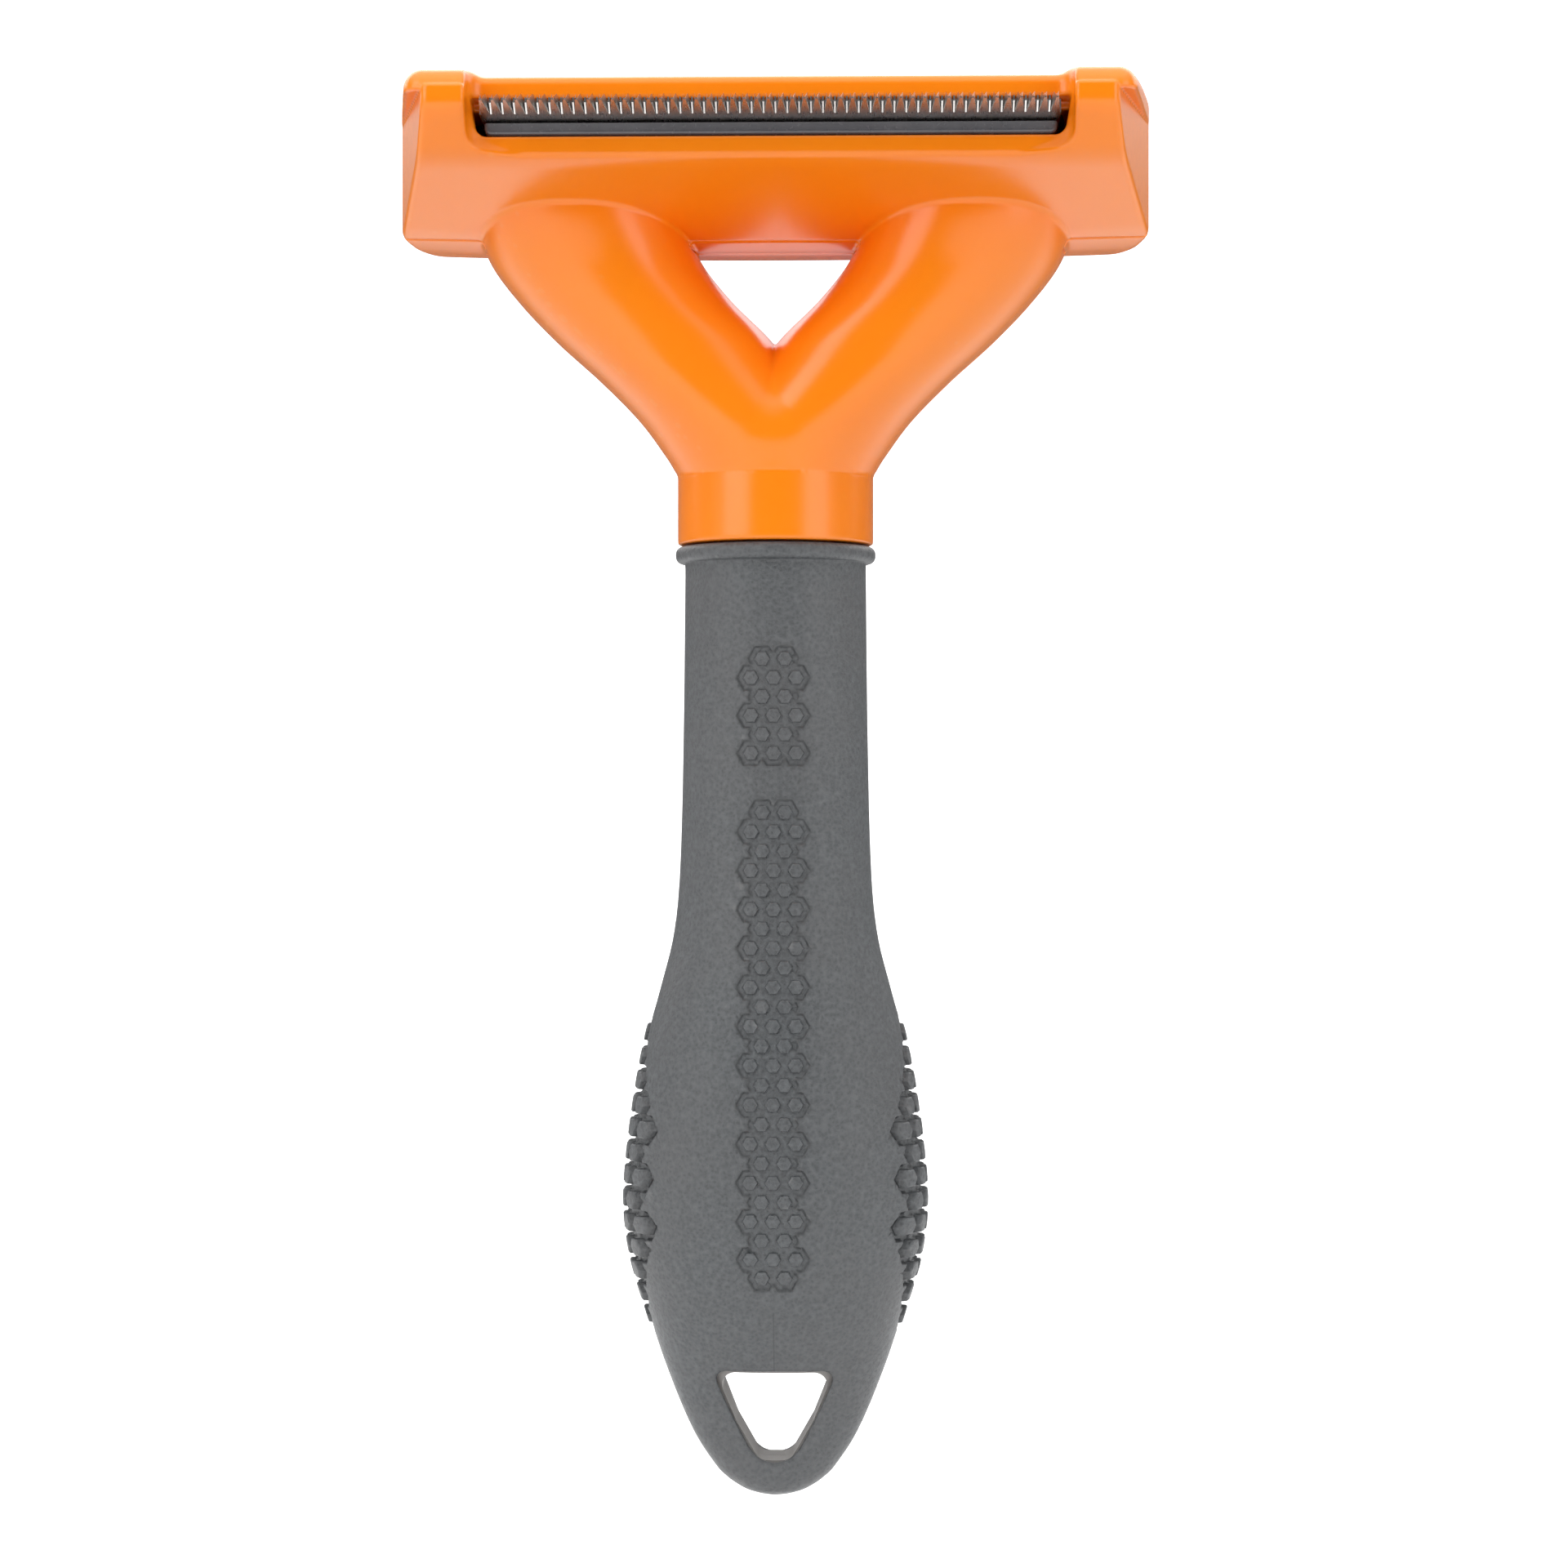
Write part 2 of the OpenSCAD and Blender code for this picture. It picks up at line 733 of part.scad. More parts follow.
front_shell();
rear_shell();
comb_blade();
blade_carrier();
carrier_screws();
guide_bushes();
bush_washers();
blade_screws();
ejector_slider();
ejector_bar();
bar_rivets();
eject_button();
button_screw();
spring_rods();
spring_left();
spring_right();
case_screws();
neck_screws();
core_front_half();
core_rear_half();
grip_sleeve();
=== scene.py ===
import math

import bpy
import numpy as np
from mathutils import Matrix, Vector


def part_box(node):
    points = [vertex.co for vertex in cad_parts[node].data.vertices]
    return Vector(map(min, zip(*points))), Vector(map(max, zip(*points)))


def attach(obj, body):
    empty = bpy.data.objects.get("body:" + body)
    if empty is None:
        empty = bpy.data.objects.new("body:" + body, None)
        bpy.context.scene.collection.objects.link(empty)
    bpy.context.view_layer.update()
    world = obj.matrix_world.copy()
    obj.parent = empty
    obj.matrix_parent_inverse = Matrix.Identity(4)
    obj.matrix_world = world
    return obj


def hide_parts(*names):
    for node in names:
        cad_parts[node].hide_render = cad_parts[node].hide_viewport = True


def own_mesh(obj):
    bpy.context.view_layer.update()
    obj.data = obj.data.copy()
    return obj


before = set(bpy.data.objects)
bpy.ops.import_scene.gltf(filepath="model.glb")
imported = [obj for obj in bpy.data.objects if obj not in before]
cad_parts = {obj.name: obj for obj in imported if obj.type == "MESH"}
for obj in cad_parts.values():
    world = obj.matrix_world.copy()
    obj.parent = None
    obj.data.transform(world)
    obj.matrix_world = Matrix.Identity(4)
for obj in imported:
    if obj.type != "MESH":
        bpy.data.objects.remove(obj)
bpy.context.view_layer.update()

# The looks of a deshedding tool. Shapes are distance fields in millimetres, negative inside,
# sampled on a grid and turned into meshes. The frame is the CAD model's: +Z up the handle,
# +X across the head, and the teeth point toward -Y.

import openvdb
from mathutils import Matrix, Vector
from mathutils.geometry import tessellate_polygon

MM = 0.001
COARSE = 1.0

# ---------- Sizes shared with the CAD frame, in millimetres ----------


def box_mm(node):
    """Lowest and highest corner of a CAD node, in millimetres."""
    low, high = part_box(node)
    return [v / MM for v in low], [v / MM for v in high]


HEAD_LOW, HEAD_HIGH = box_mm("front_shell")
BACK_Y = box_mm("rear_shell")[1][1]
SLEEVE_LOW, SLEEVE_HIGH = box_mm("grip_sleeve")

HEAD_HALF_W = HEAD_HIGH[0]
HEAD_TOP_Z = HEAD_HIGH[2]
EAR_Y = HEAD_LOW[1]
TIP_Z = SLEEVE_LOW[2]

HEAD_Z = 139.1  # lower edge of the head's front
SEAM_Y = -4.0  # where the front and rear shells meet
NOSE_Y = -23.0  # front of the recessed part between the ears
POCKET_LOW_Z, POCKET_HALF_W = 146.0, 34.1  # the recess that the nose sits in
COLLAR_LOW_Z = 103.6
COLLAR_TOP_Z = 111.7
COLLAR_R = 11.64
SHELL_WALL = 2.0
OPENING_LOW_Z, OPENING_LOW_HALF_W = 148.35, 33.2
OPENING_TOP_Z, OPENING_TOP_HALF_W = 152.65, 33.9
# The blade leans up toward the teeth, whose points are at this height and this far forward
BLADE_LEAN = math.radians(6)
TOOTH_POINT_Z, TOOTH_POINT_REACH = 151, 30.5
BLADE_Z = TOOTH_POINT_Z - TOOTH_POINT_REACH * math.tan(BLADE_LEAN)

# ---------- Distance fields ----------


def rounded_and(a, b, r):
    """Where both fields are solid, with the edge between them rounded to radius r."""
    outside = np.hypot(np.maximum(a + r, 0), np.maximum(b + r, 0))
    return np.minimum(np.maximum(a, b), -r) + outside


def rounded_or(a, b, r):
    """Where either field is solid, with a fillet of radius r between them."""
    return -rounded_and(-a, -b, r)


def blended(a, b, width):
    """Where either field is solid, melted together over a band of the given width."""
    overlap = np.maximum(width - np.abs(a - b), 0) / width
    return np.minimum(a, b) - overlap * overlap * width / 4


def chain(points, u, v, soft):
    """Solid to the left of a run of straight edges, each bend softened over the given width."""
    field = None
    for (u0, v0), (u1, v1) in zip(points, points[1:]):
        length = math.hypot(u1 - u0, v1 - v0)
        side = ((u - u0) * (v1 - v0) - (v - v0) * (u1 - u0)) / length
        field = side if field is None else -blended(-field, -side, soft)
    return field


def smooth_curve(keys, at):
    """Value at each height of a smooth curve through (height, value) keys."""
    heights = np.array([k[0] for k in keys], float)
    values = np.array([k[1] for k in keys], float)
    index = np.arange(len(keys))
    before = np.maximum(index - 1, 0)
    after = np.minimum(index + 1, len(keys) - 1)
    slopes = (values[after] - values[before]) / (heights[after] - heights[before])
    at = np.clip(at, heights[0], heights[-1])
    i = np.clip(np.searchsorted(heights, at, side="right") - 1, 0, len(keys) - 2)
    span = heights[i + 1] - heights[i]
    t = (at - heights[i]) / span
    rise = values[i + 1] - values[i]
    ease = rise * t * t * (3 - 2 * t)
    bend = span * t * (1 - t) * (slopes[i] * (1 - t) - slopes[i + 1] * t)
    return (values[i] + ease + bend).astype(np.float32)


def oval(x, y, half_w, half_d, power):
    """Distance to an upright oval, measured out from its centre."""
    reach = (np.abs(x / half_w) ** power + np.abs(y / half_d) ** power) ** (1 / power)
    return np.hypot(x, y) * (1 - 1 / np.maximum(reach, 1e-4))


def tilted(y, z):
    """Coordinates along and above the blade, whose frame leans toward the head's top."""
    z = z - BLADE_Z
    along = y * math.cos(BLADE_LEAN) - z * math.sin(BLADE_LEAN)
    above = y * math.sin(BLADE_LEAN) + z * math.cos(BLADE_LEAN)
    return along, above


class Grid:
    """A box of sample points in millimetres."""

    def __init__(self, low, high, step):
        self.low = np.array(low, float)
        self.step = step * COARSE
        axes = [np.arange(a, b, self.step, dtype=np.float32) for a, b in zip(low, high)]
        self.shape = tuple(len(a) for a in axes)
        self.x, self.y, self.z = np.ix_(*axes)

    def mesh(self, name, field, simplify=0.0, marks=None):
        """The surface where the field is zero, as an object in metres. Its shading follows
        the field's own slope, so that it stays smooth where simplify made larger faces.
        Marks are further fields by name, kept on the surface for the materials to read."""
        field = np.array(np.broadcast_to(field, self.shape), np.float32)
        volume = openvdb.FloatGrid(10.0)
        volume.copyFromArray(field)
        points, triangles, quads = volume.convertToPolygons(0.0, simplify)
        steps = np.eye(3) * 0.5
        slope = [value_at(field, points + e) - value_at(field, points - e) for e in steps]
        slope = np.stack(slope, axis=1)
        normals = slope / np.maximum(np.linalg.norm(slope, axis=1, keepdims=True), 1e-9)
        obj = mesh_object(name, (self.low + points * self.step) * MM, triangles, quads)
        obj.data.normals_split_custom_set_from_vertices(normals.astype(np.float32))
        for mark, values in (marks or {}).items():
            layer = obj.data.attributes.new(mark, "FLOAT", "POINT")
            values = value_at(np.broadcast_to(values, self.shape), points)
            layer.data.foreach_set("value", values.astype(np.float32))
        return obj


def value_at(field, places):
    """The field at places given in steps from the grid's low corner."""
    places = np.clip(places, 0, np.array(field.shape) - 1.001)
    low = places.astype(int)
    part = places - low
    total = np.zeros(len(places))
    for corner in np.ndindex(2, 2, 2):
        share = np.prod(np.where(corner, part, 1 - part), axis=1)
        total += share * field[tuple((low + corner).T)]
    return total


def mesh_object(name, points, *face_groups, smooth=True):
    """An object from points and arrays of faces, each array with its own face size."""
    groups = [np.asarray(faces, np.int32) for faces in face_groups if len(faces)]
    counts = np.concatenate([np.full(len(faces), faces.shape[1]) for faces in groups])
    corners = np.concatenate([faces.ravel() for faces in groups])
    mesh = bpy.data.meshes.new(name)
    mesh.vertices.add(len(points))
    mesh.vertices.foreach_set("co", np.asarray(points, np.float32).ravel())
    mesh.loops.add(len(corners))
    mesh.loops.foreach_set("vertex_index", corners)
    mesh.polygons.add(len(counts))
    starts = np.concatenate([[0], np.cumsum(counts)[:-1]])
    mesh.polygons.foreach_set("loop_start", starts.astype(np.int32))
    mesh.polygons.foreach_set("use_smooth", np.full(len(counts), smooth))
    mesh.update(calc_edges=True)
    mesh.validate()
    obj = bpy.data.objects.new(name, mesh)
    bpy.context.scene.collection.objects.link(obj)
    return obj


# ---------- The orange head, yoke and collar ----------

# Half width of the yoke, the middle of each arm, and its depth to the front and back,
# as (height, size)
YOKE_HALF_W = [
    (108, 11.64), (111.7, 11.64), (112.6, 12.1), (114, 12.95), (118.4, 16.2), (123.1, 20.8),
    (127.8, 26), (132.5, 30.5), (137.1, 33.9), (142, 35.6), (148, 36.4),
]
ARM_MIDDLE = [
    (108, 0), (111.7, 0.01), (113, 0.6), (115.5, 2.2), (119, 5.2), (123.5, 9.3), (127.8, 13.2),
    (132.5, 17.8), (137.1, 21.3), (142, 23.2), (148, 24),
]
ARM_FRONT = [(111.7, 11.64), (118, 12.2), (127, 12.2), (135, 12.7), (142, 13.8), (148, 14)]
ARM_BACK = [(108, 11.64), (111.7, 11.64), (118, 10.6), (127, 9.2), (135, 8.8), (148, 8.8)]
YOKE_TOP_Z = 147  # inside the head
# How widely the arms melt together where they meet
ARM_BLEND = [(111.7, 0.02), (113, 0.3), (116, 1.4), (119, 1.6), (122, 0.8), (126, 0.4)]


def yoke_field(g):
    """The two arms, which part above the neck and leave a three-sided window between them."""
    middle = smooth_curve(ARM_MIDDLE, g.z)
    half_w = smooth_curve(YOKE_HALF_W, g.z) - middle
    half_d = np.where(g.y < 0, smooth_curve(ARM_FRONT, g.z), smooth_curve(ARM_BACK, g.z))
    # round at the neck, and a little squarer from 12 mm above it
    power = 2 + 0.3 * np.clip((g.z - COLLAR_TOP_Z) / 12, 0, 1)
    arms = [oval(g.x - side * middle, g.y, half_w, half_d, power) for side in (-1, 1)]
    yoke = blended(arms[0], arms[1], smooth_curve(ARM_BLEND, g.z))
    yoke = np.maximum(yoke, np.maximum(COLLAR_TOP_Z - g.z, g.z - YOKE_TOP_Z))
    collar = np.maximum(np.hypot(g.x, g.y) - COLLAR_R, g.z - COLLAR_TOP_Z)
    collar = rounded_and(collar, COLLAR_LOW_Z - g.z, 0.35)
    return np.minimum(yoke, collar)


def head_field(g):
    """The wide head: two ears with a recessed nose between them, under a fuller top cap."""
    across = np.abs(g.x)
    half = HEAD_HALF_W
    # below the cap: the front pads of the ears, and walls that draft out to the seam
    lower_front = chain(
        [(EAR_Y, 156), (EAR_Y, 150.6), (-25.6, 148.2), (-22.9, 145.6), (-13, 142.1),
         (SEAM_Y, HEAD_Z)],
        g.y, g.z, 1.0,
    )
    draft_sides = chain([(half - 5.2, EAR_Y), (half, SEAM_Y)], across, g.y, 1)
    lower = rounded_and(lower_front, draft_sides, 0.7)
    lower = rounded_and(lower, g.z - 153.6, 0.45)
    # the cap: wider than the pads at its front corners, and set back from their faces
    cap_sides = chain([(half - 3.3, EAR_Y), (half, SEAM_Y)], across, g.y, 1)
    cap = rounded_and(EAR_Y + 0.35 - g.y, cap_sides, 2.0)
    cap = rounded_and(cap, 152.8 - g.z, 0.3)
    cap_top = chain(
        [(BACK_Y, 150), (9.6, 154.9), (6, HEAD_TOP_Z), (-14, HEAD_TOP_Z), (EAR_Y - 1, 155.1)],
        g.y, g.z, 0.9,
    )
    cap = rounded_and(cap, cap_top, 2.2)
    back = chain(
        [(SEAM_Y, HEAD_Z - 0.15), (3, 137.5), (7, 138.4), (10, 141.2), (BACK_Y, 145),
         (BACK_Y, 151)],
        g.y, g.z, 1.5,
    )
    rear_sides = chain(
        [(half, SEAM_Y), (half - 1, 4.5), (half - 6.5, 9.6), (24, BACK_Y)], across, g.y, 3
    )
    head = np.minimum(lower, cap)
    head = -blended(-head, -rear_sides, 0.3)
    head = -blended(-head, -back, 0.5)
    bow_r = 700
    bowed_bottom = 137.5 + across * across / (2 * bow_r) - g.z
    head = rounded_and(head, bowed_bottom, 1.8)
    # the nose sits back from the ears, in a pocket with rounded inner corners
    outline = rounded_and(across - POCKET_HALF_W, POCKET_LOW_Z - g.z, 2.6)
    fillet = np.clip((across - 27) / 2.5, 0.3, 2.0)
    pocket = rounded_and(g.y - NOSE_Y, outline, fillet)
    drop, run = 1.8, 9
    above_nose = (drop * (g.y + 14) - run * (g.z - HEAD_TOP_Z)) / math.hypot(drop, run)
    above_nose = rounded_and(above_nose, outline + 0.3, 1.5)
    recess = rounded_or(pocket, above_nose, 0.9)
    return rounded_and(head, -recess, 0.5)


def opening_field(g):
    """The mouth the blade and the ejector bar reach out of."""
    across = np.abs(g.x)
    flank = [(OPENING_LOW_HALF_W, OPENING_LOW_Z), (OPENING_TOP_HALF_W, OPENING_TOP_Z)]
    mouth = rounded_and(chain(flank, across, g.z, 1), OPENING_LOW_Z - g.z, 1.1)
    mouth = rounded_and(mouth, g.z - OPENING_TOP_Z, 0.25)
    return np.maximum(mouth, g.y - NOSE_Y - SHELL_WALL - 1)


def cylinder_y(g, x, z, r):
    """An endless round bar along Y."""
    return np.hypot(g.x - x, g.z - z) - r


# Screws put in from the back, as (X, the Y their heads sit at, Z)
CASE_SCREWS = [(38, 2, 148.5), (-38, 2, 148.5), (23, 4, 132), (-23, 4, 132)]
NECK_SCREWS = [(0, 9.6, 108), (0, 9.6, 114.5)]
SCREW_R = 1.27
SCREW_HOLE_R = SCREW_R + 0.15
SCREW_HEAD_R = 2.6
CASE_SCREW_LENGTH = 10.2
SCREW_POST_R = 3.0
CORE_SOCKET_R, CORE_SOCKET_TOP_Z = 8.05, 120.5
SEAM_GAP = 0.07


def build_shells():
    """The front and rear shells, hollow, meeting at a fine parting line."""
    g = Grid(
        (-HEAD_HALF_W - 1, EAR_Y - 1, COLLAR_LOW_Z - 1),
        (HEAD_HALF_W + 1, BACK_Y + 1.5, HEAD_TOP_Z + 1),
        0.3,
    )
    solid = rounded_or(head_field(g), yoke_field(g), 0.5)
    along, above = tilted(g.y, g.z)

    hollow = np.maximum(solid + SHELL_WALL, CORE_SOCKET_TOP_Z - 1 - g.z)
    socket = np.maximum(np.hypot(g.x, g.y) - CORE_SOCKET_R, g.z - CORE_SOCKET_TOP_Z)
    hollow = np.minimum(hollow, socket)
    for x, _, z in CASE_SCREWS:
        hollow = np.maximum(hollow, -cylinder_y(g, x, z, SCREW_POST_R))
    shell = np.maximum(solid, -hollow)
    shell = rounded_and(shell, -opening_field(g), 0.25)

    # the seam runs along the head's underside, then down the middle of the arms and collar
    front_side = np.minimum(g.y - SEAM_Y, np.maximum(g.z - HEAD_Z + 0.7, g.y))
    front = rounded_and(shell, front_side + SEAM_GAP, 0.2)
    rear = rounded_and(shell, -front_side + SEAM_GAP, 0.2)

    gap = 0.3
    half_w, half_h = BUTTON_HALF_W + gap, BUTTON_HALF_H + gap
    button_hole = np.maximum(oval(g.x, above - BUTTON_Z, half_w, half_h, 4), -along)
    rear = rounded_and(rear, -button_hole, 0.5)
    for x, seat, z in CASE_SCREWS:
        pilot = np.maximum(cylinder_y(g, x, z, SCREW_R), seat - CASE_SCREW_LENGTH - g.y)
        front = np.maximum(front, -pilot)
    for x, seat, z in CASE_SCREWS + NECK_SCREWS:
        rear = np.maximum(rear, -cylinder_y(g, x, z, SCREW_HOLE_R))
        well = np.maximum(cylinder_y(g, x, z, SCREW_HEAD_R), seat - g.y)
        rear = rounded_and(rear, -well, 0.3)
    return g.mesh("head_front_shell", front), g.mesh("head_rear_shell", rear)


# ---------- The rubber sleeve ----------

GRIP_HALF_W = [
    (-9.4, 0.6), (-9.2, 1.9), (-8.9, 2.95), (-8.5, 3.95), (-7.6, 5.4), (-6.1, 7), (-1.7, 9.85),
    (6, 13.05), (12.9, 15.3), (18.7, 17), (24.6, 17.8), (30, 17.6), (38, 16.6), (45, 15.3),
    (51, 13.7), (57, 12.2), (64, 11.45), (80, 11), (102, 10.75),
]
GRIP_FRONT = [
    (-9.4, 1.2), (-8.6, 2.8), (-6, 4), (0, 4.9), (6, 6.6), (13, 9.6), (24.6, 12.4), (36, 12.8),
    (48, 11.8), (60, 10.6), (76, 9.5), (90, 10.1), (102, 10.65),
]
GRIP_BACK = [
    (-9.4, 1.2), (-8.6, 2.8), (-6, 4), (0, 4.9), (8, 6.6), (20, 10.5), (32, 13.2), (44, 13.4),
    (58, 11.4), (75, 10.3), (90, 10.3), (102, 10.65),
]


def hang_hole(g, grow):
    """The rounded three-sided hole at the small end of the handle."""
    sides = [(-1, -4.8), (0.85, -4.8), (2.3, -3.95), (4.55, -0.1), (6.1, 3.7)]
    hole = rounded_and(chain(sides, np.abs(g.x), g.z, 0.8), g.z - 5.9, 1.4)
    return hole - grow


def hexagon(u, v, r):
    """Distance to a hexagon with corners to the left and right, r from its middle."""
    u, v = np.abs(u), np.abs(v)
    flat = r * math.cos(math.pi / 6)
    return np.maximum(v, u * math.sin(math.pi / 3) + v / 2) - flat


def hexagon_spots(rows, pitch):
    """Middles of the hexagons in rows listed as (height of the row, number in it)."""
    return [
        ((i - (count - 1) / 2) * pitch, height) for height, count in rows for i in range(count)
    ]


def patch_outline(u, v, spots, r):
    """Distance to the outline that hexagons at all the spots make together."""
    nearest = np.full(np.broadcast(u, v).shape, 9.0, np.float32)
    for spot_u, spot_v in spots:
        rows = np.abs(v.ravel() - spot_v) < 2 * r
        part = hexagon(u - spot_u, v[:, rows] - spot_v, r)
        nearest[:, rows] = blended(nearest[:, rows], part, 0.5)
    return nearest


def groove_shade(distance):
    """1 along the outline of a patch, fading to 0 within a fraction of a millimetre; it masks
    painted shade.
    """
    return np.exp(-np.square((distance - 0.03) / 0.15))


def hexagon_pad(surface, middle, r, depth, proud):
    """Points and triangles of one pad: a hexagon with soft edges that follows the surface.
    surface gives a point from its two place coordinates and its height above the skin. The
    pad reaches depth below the skin and stands proud of it."""
    top = 0.04
    # each ring's size as a share of r, and its height, from the foot to the middle
    rings = [(1.06, -depth - proud - 0.1), (0.99, -0.12), (0.93, -0.03), (0.84, 0.02), (0.4, top)]
    corners = 6
    per_side = 3
    count = corners * per_side
    points = []
    for size, height in rings:
        for i in range(count):
            corner, step = divmod(i, per_side)
            turns = [math.radians(60 * (corner + k)) for k in (0, 1)]
            ends = [(math.cos(t), math.sin(t)) for t in turns]
            share = step / per_side
            u, v = (r * size * (a * (1 - share) + b * share) for a, b in zip(*ends))
            points.append(surface(middle[0] + u, middle[1] + v, height + proud))
    points.append(surface(*middle, proud + top))
    faces = []
    for ring in range(len(rings) - 1):
        for i in range(count):
            a, b = ring * count + i, ring * count + (i + 1) % count
            faces += [(a, b, b + count), (a, b + count, a + count)]
    last = (len(rings) - 1) * count
    faces += [(last + i, last + (i + 1) % count, len(points) - 1) for i in range(count)]
    return points, faces


def alternating_rows(top, count, step, few, many):
    """Rows going down from the top, with few and many pads by turns."""
    return [(top - i * step, few if i % 2 == 0 else many) for i in range(count)]


GRIP_POWER = 2.15  # 2 is a plain oval, more is squarer
BEAD_R, BEAD_Z, BEAD_HALF_H = 11.9, 102.4, 1.0
SLEEVE_WALL, SLEEVE_LIP = 2.25, 0.85
CORE_TIP_Z = -7.0
COLLAR_BORE_R, COLLAR_BORE_LOW_Z = 8.25, 98
FRONT_SPOTS = hexagon_spots(
    alternating_rows(89.8, 6, 2.2, 2, 3) + alternating_rows(71.9, 25, 2.258, 2, 3), 2.66
)
SIDE_ROWS = 13
SIDE_SPOTS = hexagon_spots(
    [(45.7 - i * 2.8, min(i + 1, SIDE_ROWS - i, 5 - i % 2)) for i in range(SIDE_ROWS)], 3.1
)
# The depth of the sunken patches, and the radius of the pads and of the cells around them
FRONT_DEPTH, FRONT_PAD_R, FRONT_CELL_R = 0.32, 0.92, 1.62
SIDE_DEPTH, SIDE_PAD_R, SIDE_CELL_R = 0.65, 1.16, 1.88
SIDE_PROUD = 0.35  # how far the side pads stand out of the skin


def skin_front(side):
    """A function for points on the sleeve's front or back, from X and Z."""
    depths = GRIP_FRONT if side < 0 else GRIP_BACK

    def place(x, z, height):
        half_w, half_d = smooth_curve(GRIP_HALF_W, z), smooth_curve(depths, z)
        y = half_d * (1 - abs(x / half_w) ** GRIP_POWER) ** (1 / GRIP_POWER)
        return x, side * (y + height), z

    return place


def skin_side(side):
    """A function for points on the sleeve's left or right, from Y and Z."""

    def place(y, z, height):
        depths = GRIP_FRONT if y < 0 else GRIP_BACK
        half_w, half_d = smooth_curve(GRIP_HALF_W, z), smooth_curve(depths, z)
        x = half_w * (1 - min(abs(y / half_d), 0.98) ** GRIP_POWER) ** (1 / GRIP_POWER)
        return side * (x + height), y, z

    return place


def build_pads():
    """All the raised hexagons of the grip patches, as one object."""
    points, faces = [], []
    for side in (-1, 1):
        patches = (
            (skin_front(side), FRONT_SPOTS, FRONT_PAD_R, FRONT_DEPTH, 0.0),
            (skin_side(side), SIDE_SPOTS, SIDE_PAD_R, SIDE_DEPTH, SIDE_PROUD),
        )
        for surface, spots, r, depth, proud in patches:
            for middle in spots:
                pad_points, pad_faces = hexagon_pad(surface, middle, r, depth, proud)
                faces += [[len(points) + i for i in face] for face in pad_faces]
                points += pad_points
    return mesh_object("grip_pads", np.array(points, float) * MM, faces, smooth=False)


def build_sleeve():
    """The soft sleeve with its bead, hexagon grip patches and hang hole."""
    g = Grid(
        (SLEEVE_LOW[0] - 1, SLEEVE_LOW[1] - 1, SLEEVE_LOW[2] - 1),
        (SLEEVE_HIGH[0] + 1, SLEEVE_HIGH[1] + 1, SLEEVE_HIGH[2] + 1),
        0.18,
    )
    half_w = smooth_curve(GRIP_HALF_W, g.z)
    half_d = np.where(g.y < 0, smooth_curve(GRIP_FRONT, g.z), smooth_curve(GRIP_BACK, g.z))
    steep = np.gradient(half_w.ravel(), g.step).reshape(half_w.shape)
    outside = oval(g.x, g.y, half_w, half_d, GRIP_POWER) / np.hypot(1, np.clip(steep, -3, 3))
    outside = rounded_and(outside, g.z - BEAD_Z, 0.3)
    outside = rounded_and(outside, TIP_Z - g.z, 0.25)

    # sunken hexagon patches, front and back seen along Y, and the sides seen along X
    wall = 0.25
    front = patch_outline(g.x[:, :, 0], g.z[0], FRONT_SPOTS, FRONT_CELL_R)[:, None, :]
    outside = outside + FRONT_DEPTH * np.clip(0.5 - front / wall, 0, 1)
    side = patch_outline(g.y[0], g.z[0], SIDE_SPOTS, SIDE_CELL_R)[None]
    on_side = np.clip((np.abs(g.x) - 9) / 2, 0, 1)
    outside = outside + SIDE_DEPTH * np.clip(0.5 - side / wall, 0, 1) * on_side
    # painted shade: a mask along the patch outlines, where the pocket walls fall in shadow
    painted_groove_shade = groove_shade(front) + on_side * groove_shade(side)

    from_axis = np.hypot(g.x, g.y)
    bead = rounded_and(from_axis - BEAD_R, np.abs(g.z - BEAD_Z) - BEAD_HALF_H, 0.85)
    outside = np.minimum(outside, bead)

    # room for the core, its neck, and the tube that lines the hang hole under a thin lip
    inset = oval(g.x, g.y, half_w - SLEEVE_WALL, half_d - SLEEVE_WALL, GRIP_POWER)
    inset = np.maximum(inset, CORE_TIP_Z - g.z)
    bore = np.maximum(from_axis - COLLAR_BORE_R, COLLAR_BORE_LOW_Z - g.z)
    inside = np.minimum(inset, bore)
    under_lip = oval(g.x, g.y, half_w - SLEEVE_LIP, half_d - SLEEVE_LIP, GRIP_POWER)
    tube = np.maximum(hang_hole(g, 1.55), under_lip)
    sleeve = np.maximum(outside, -np.minimum(inside, tube))
    sleeve = rounded_and(sleeve, -hang_hole(g, 0.25), 0.4)
    return g.mesh("rubber_sleeve", sleeve, 0.02, {"painted_groove_shade": painted_groove_shade})


# ---------- Comb, ejector bar, button and springs ----------

TOOTH_COUNT = 49
TOOTH_PITCH = 1.332
TOOTH_TIP_Y = -30.67
TOOTH_ROOT_Y = -25.17
BLADE_T = 1.5
BLADE_REAR_Y = -9.2
SCREW_HOLES_X = (-24, 0, 24)
SCREW_HOLES_Y = -13.5
BAR_FRONT_Y, BAR_REAR_Y, BAR_HALF_W = -22.7, -20.5, 32.4
BAR_LOW, BAR_TOP, TONGUE_TOP = -1.85, -0.2, -0.95
TONGUE_REAR_Y, TONGUE_HALF_W = -17.2, 31
BASE_HALF_W, BASE_Y, BASE_T = 19, 5, 3
BASE_LOW, BASE_TOP = -0.15, 5.35
BUTTON_Z, BUTTON_HALF_W, BUTTON_HALF_H, BUTTON_END_Y = 3.3, 10, 3.2, 20.5
DISH_R, DISH_DEPTH = 30, 1.2
SPRING_X, SPRING_Z, SPRING_R, SPRING_WIRE_R, SPRING_TURNS = 14, 3, 2.1, 0.3, 7
SPRING_FIXED_Y = -9


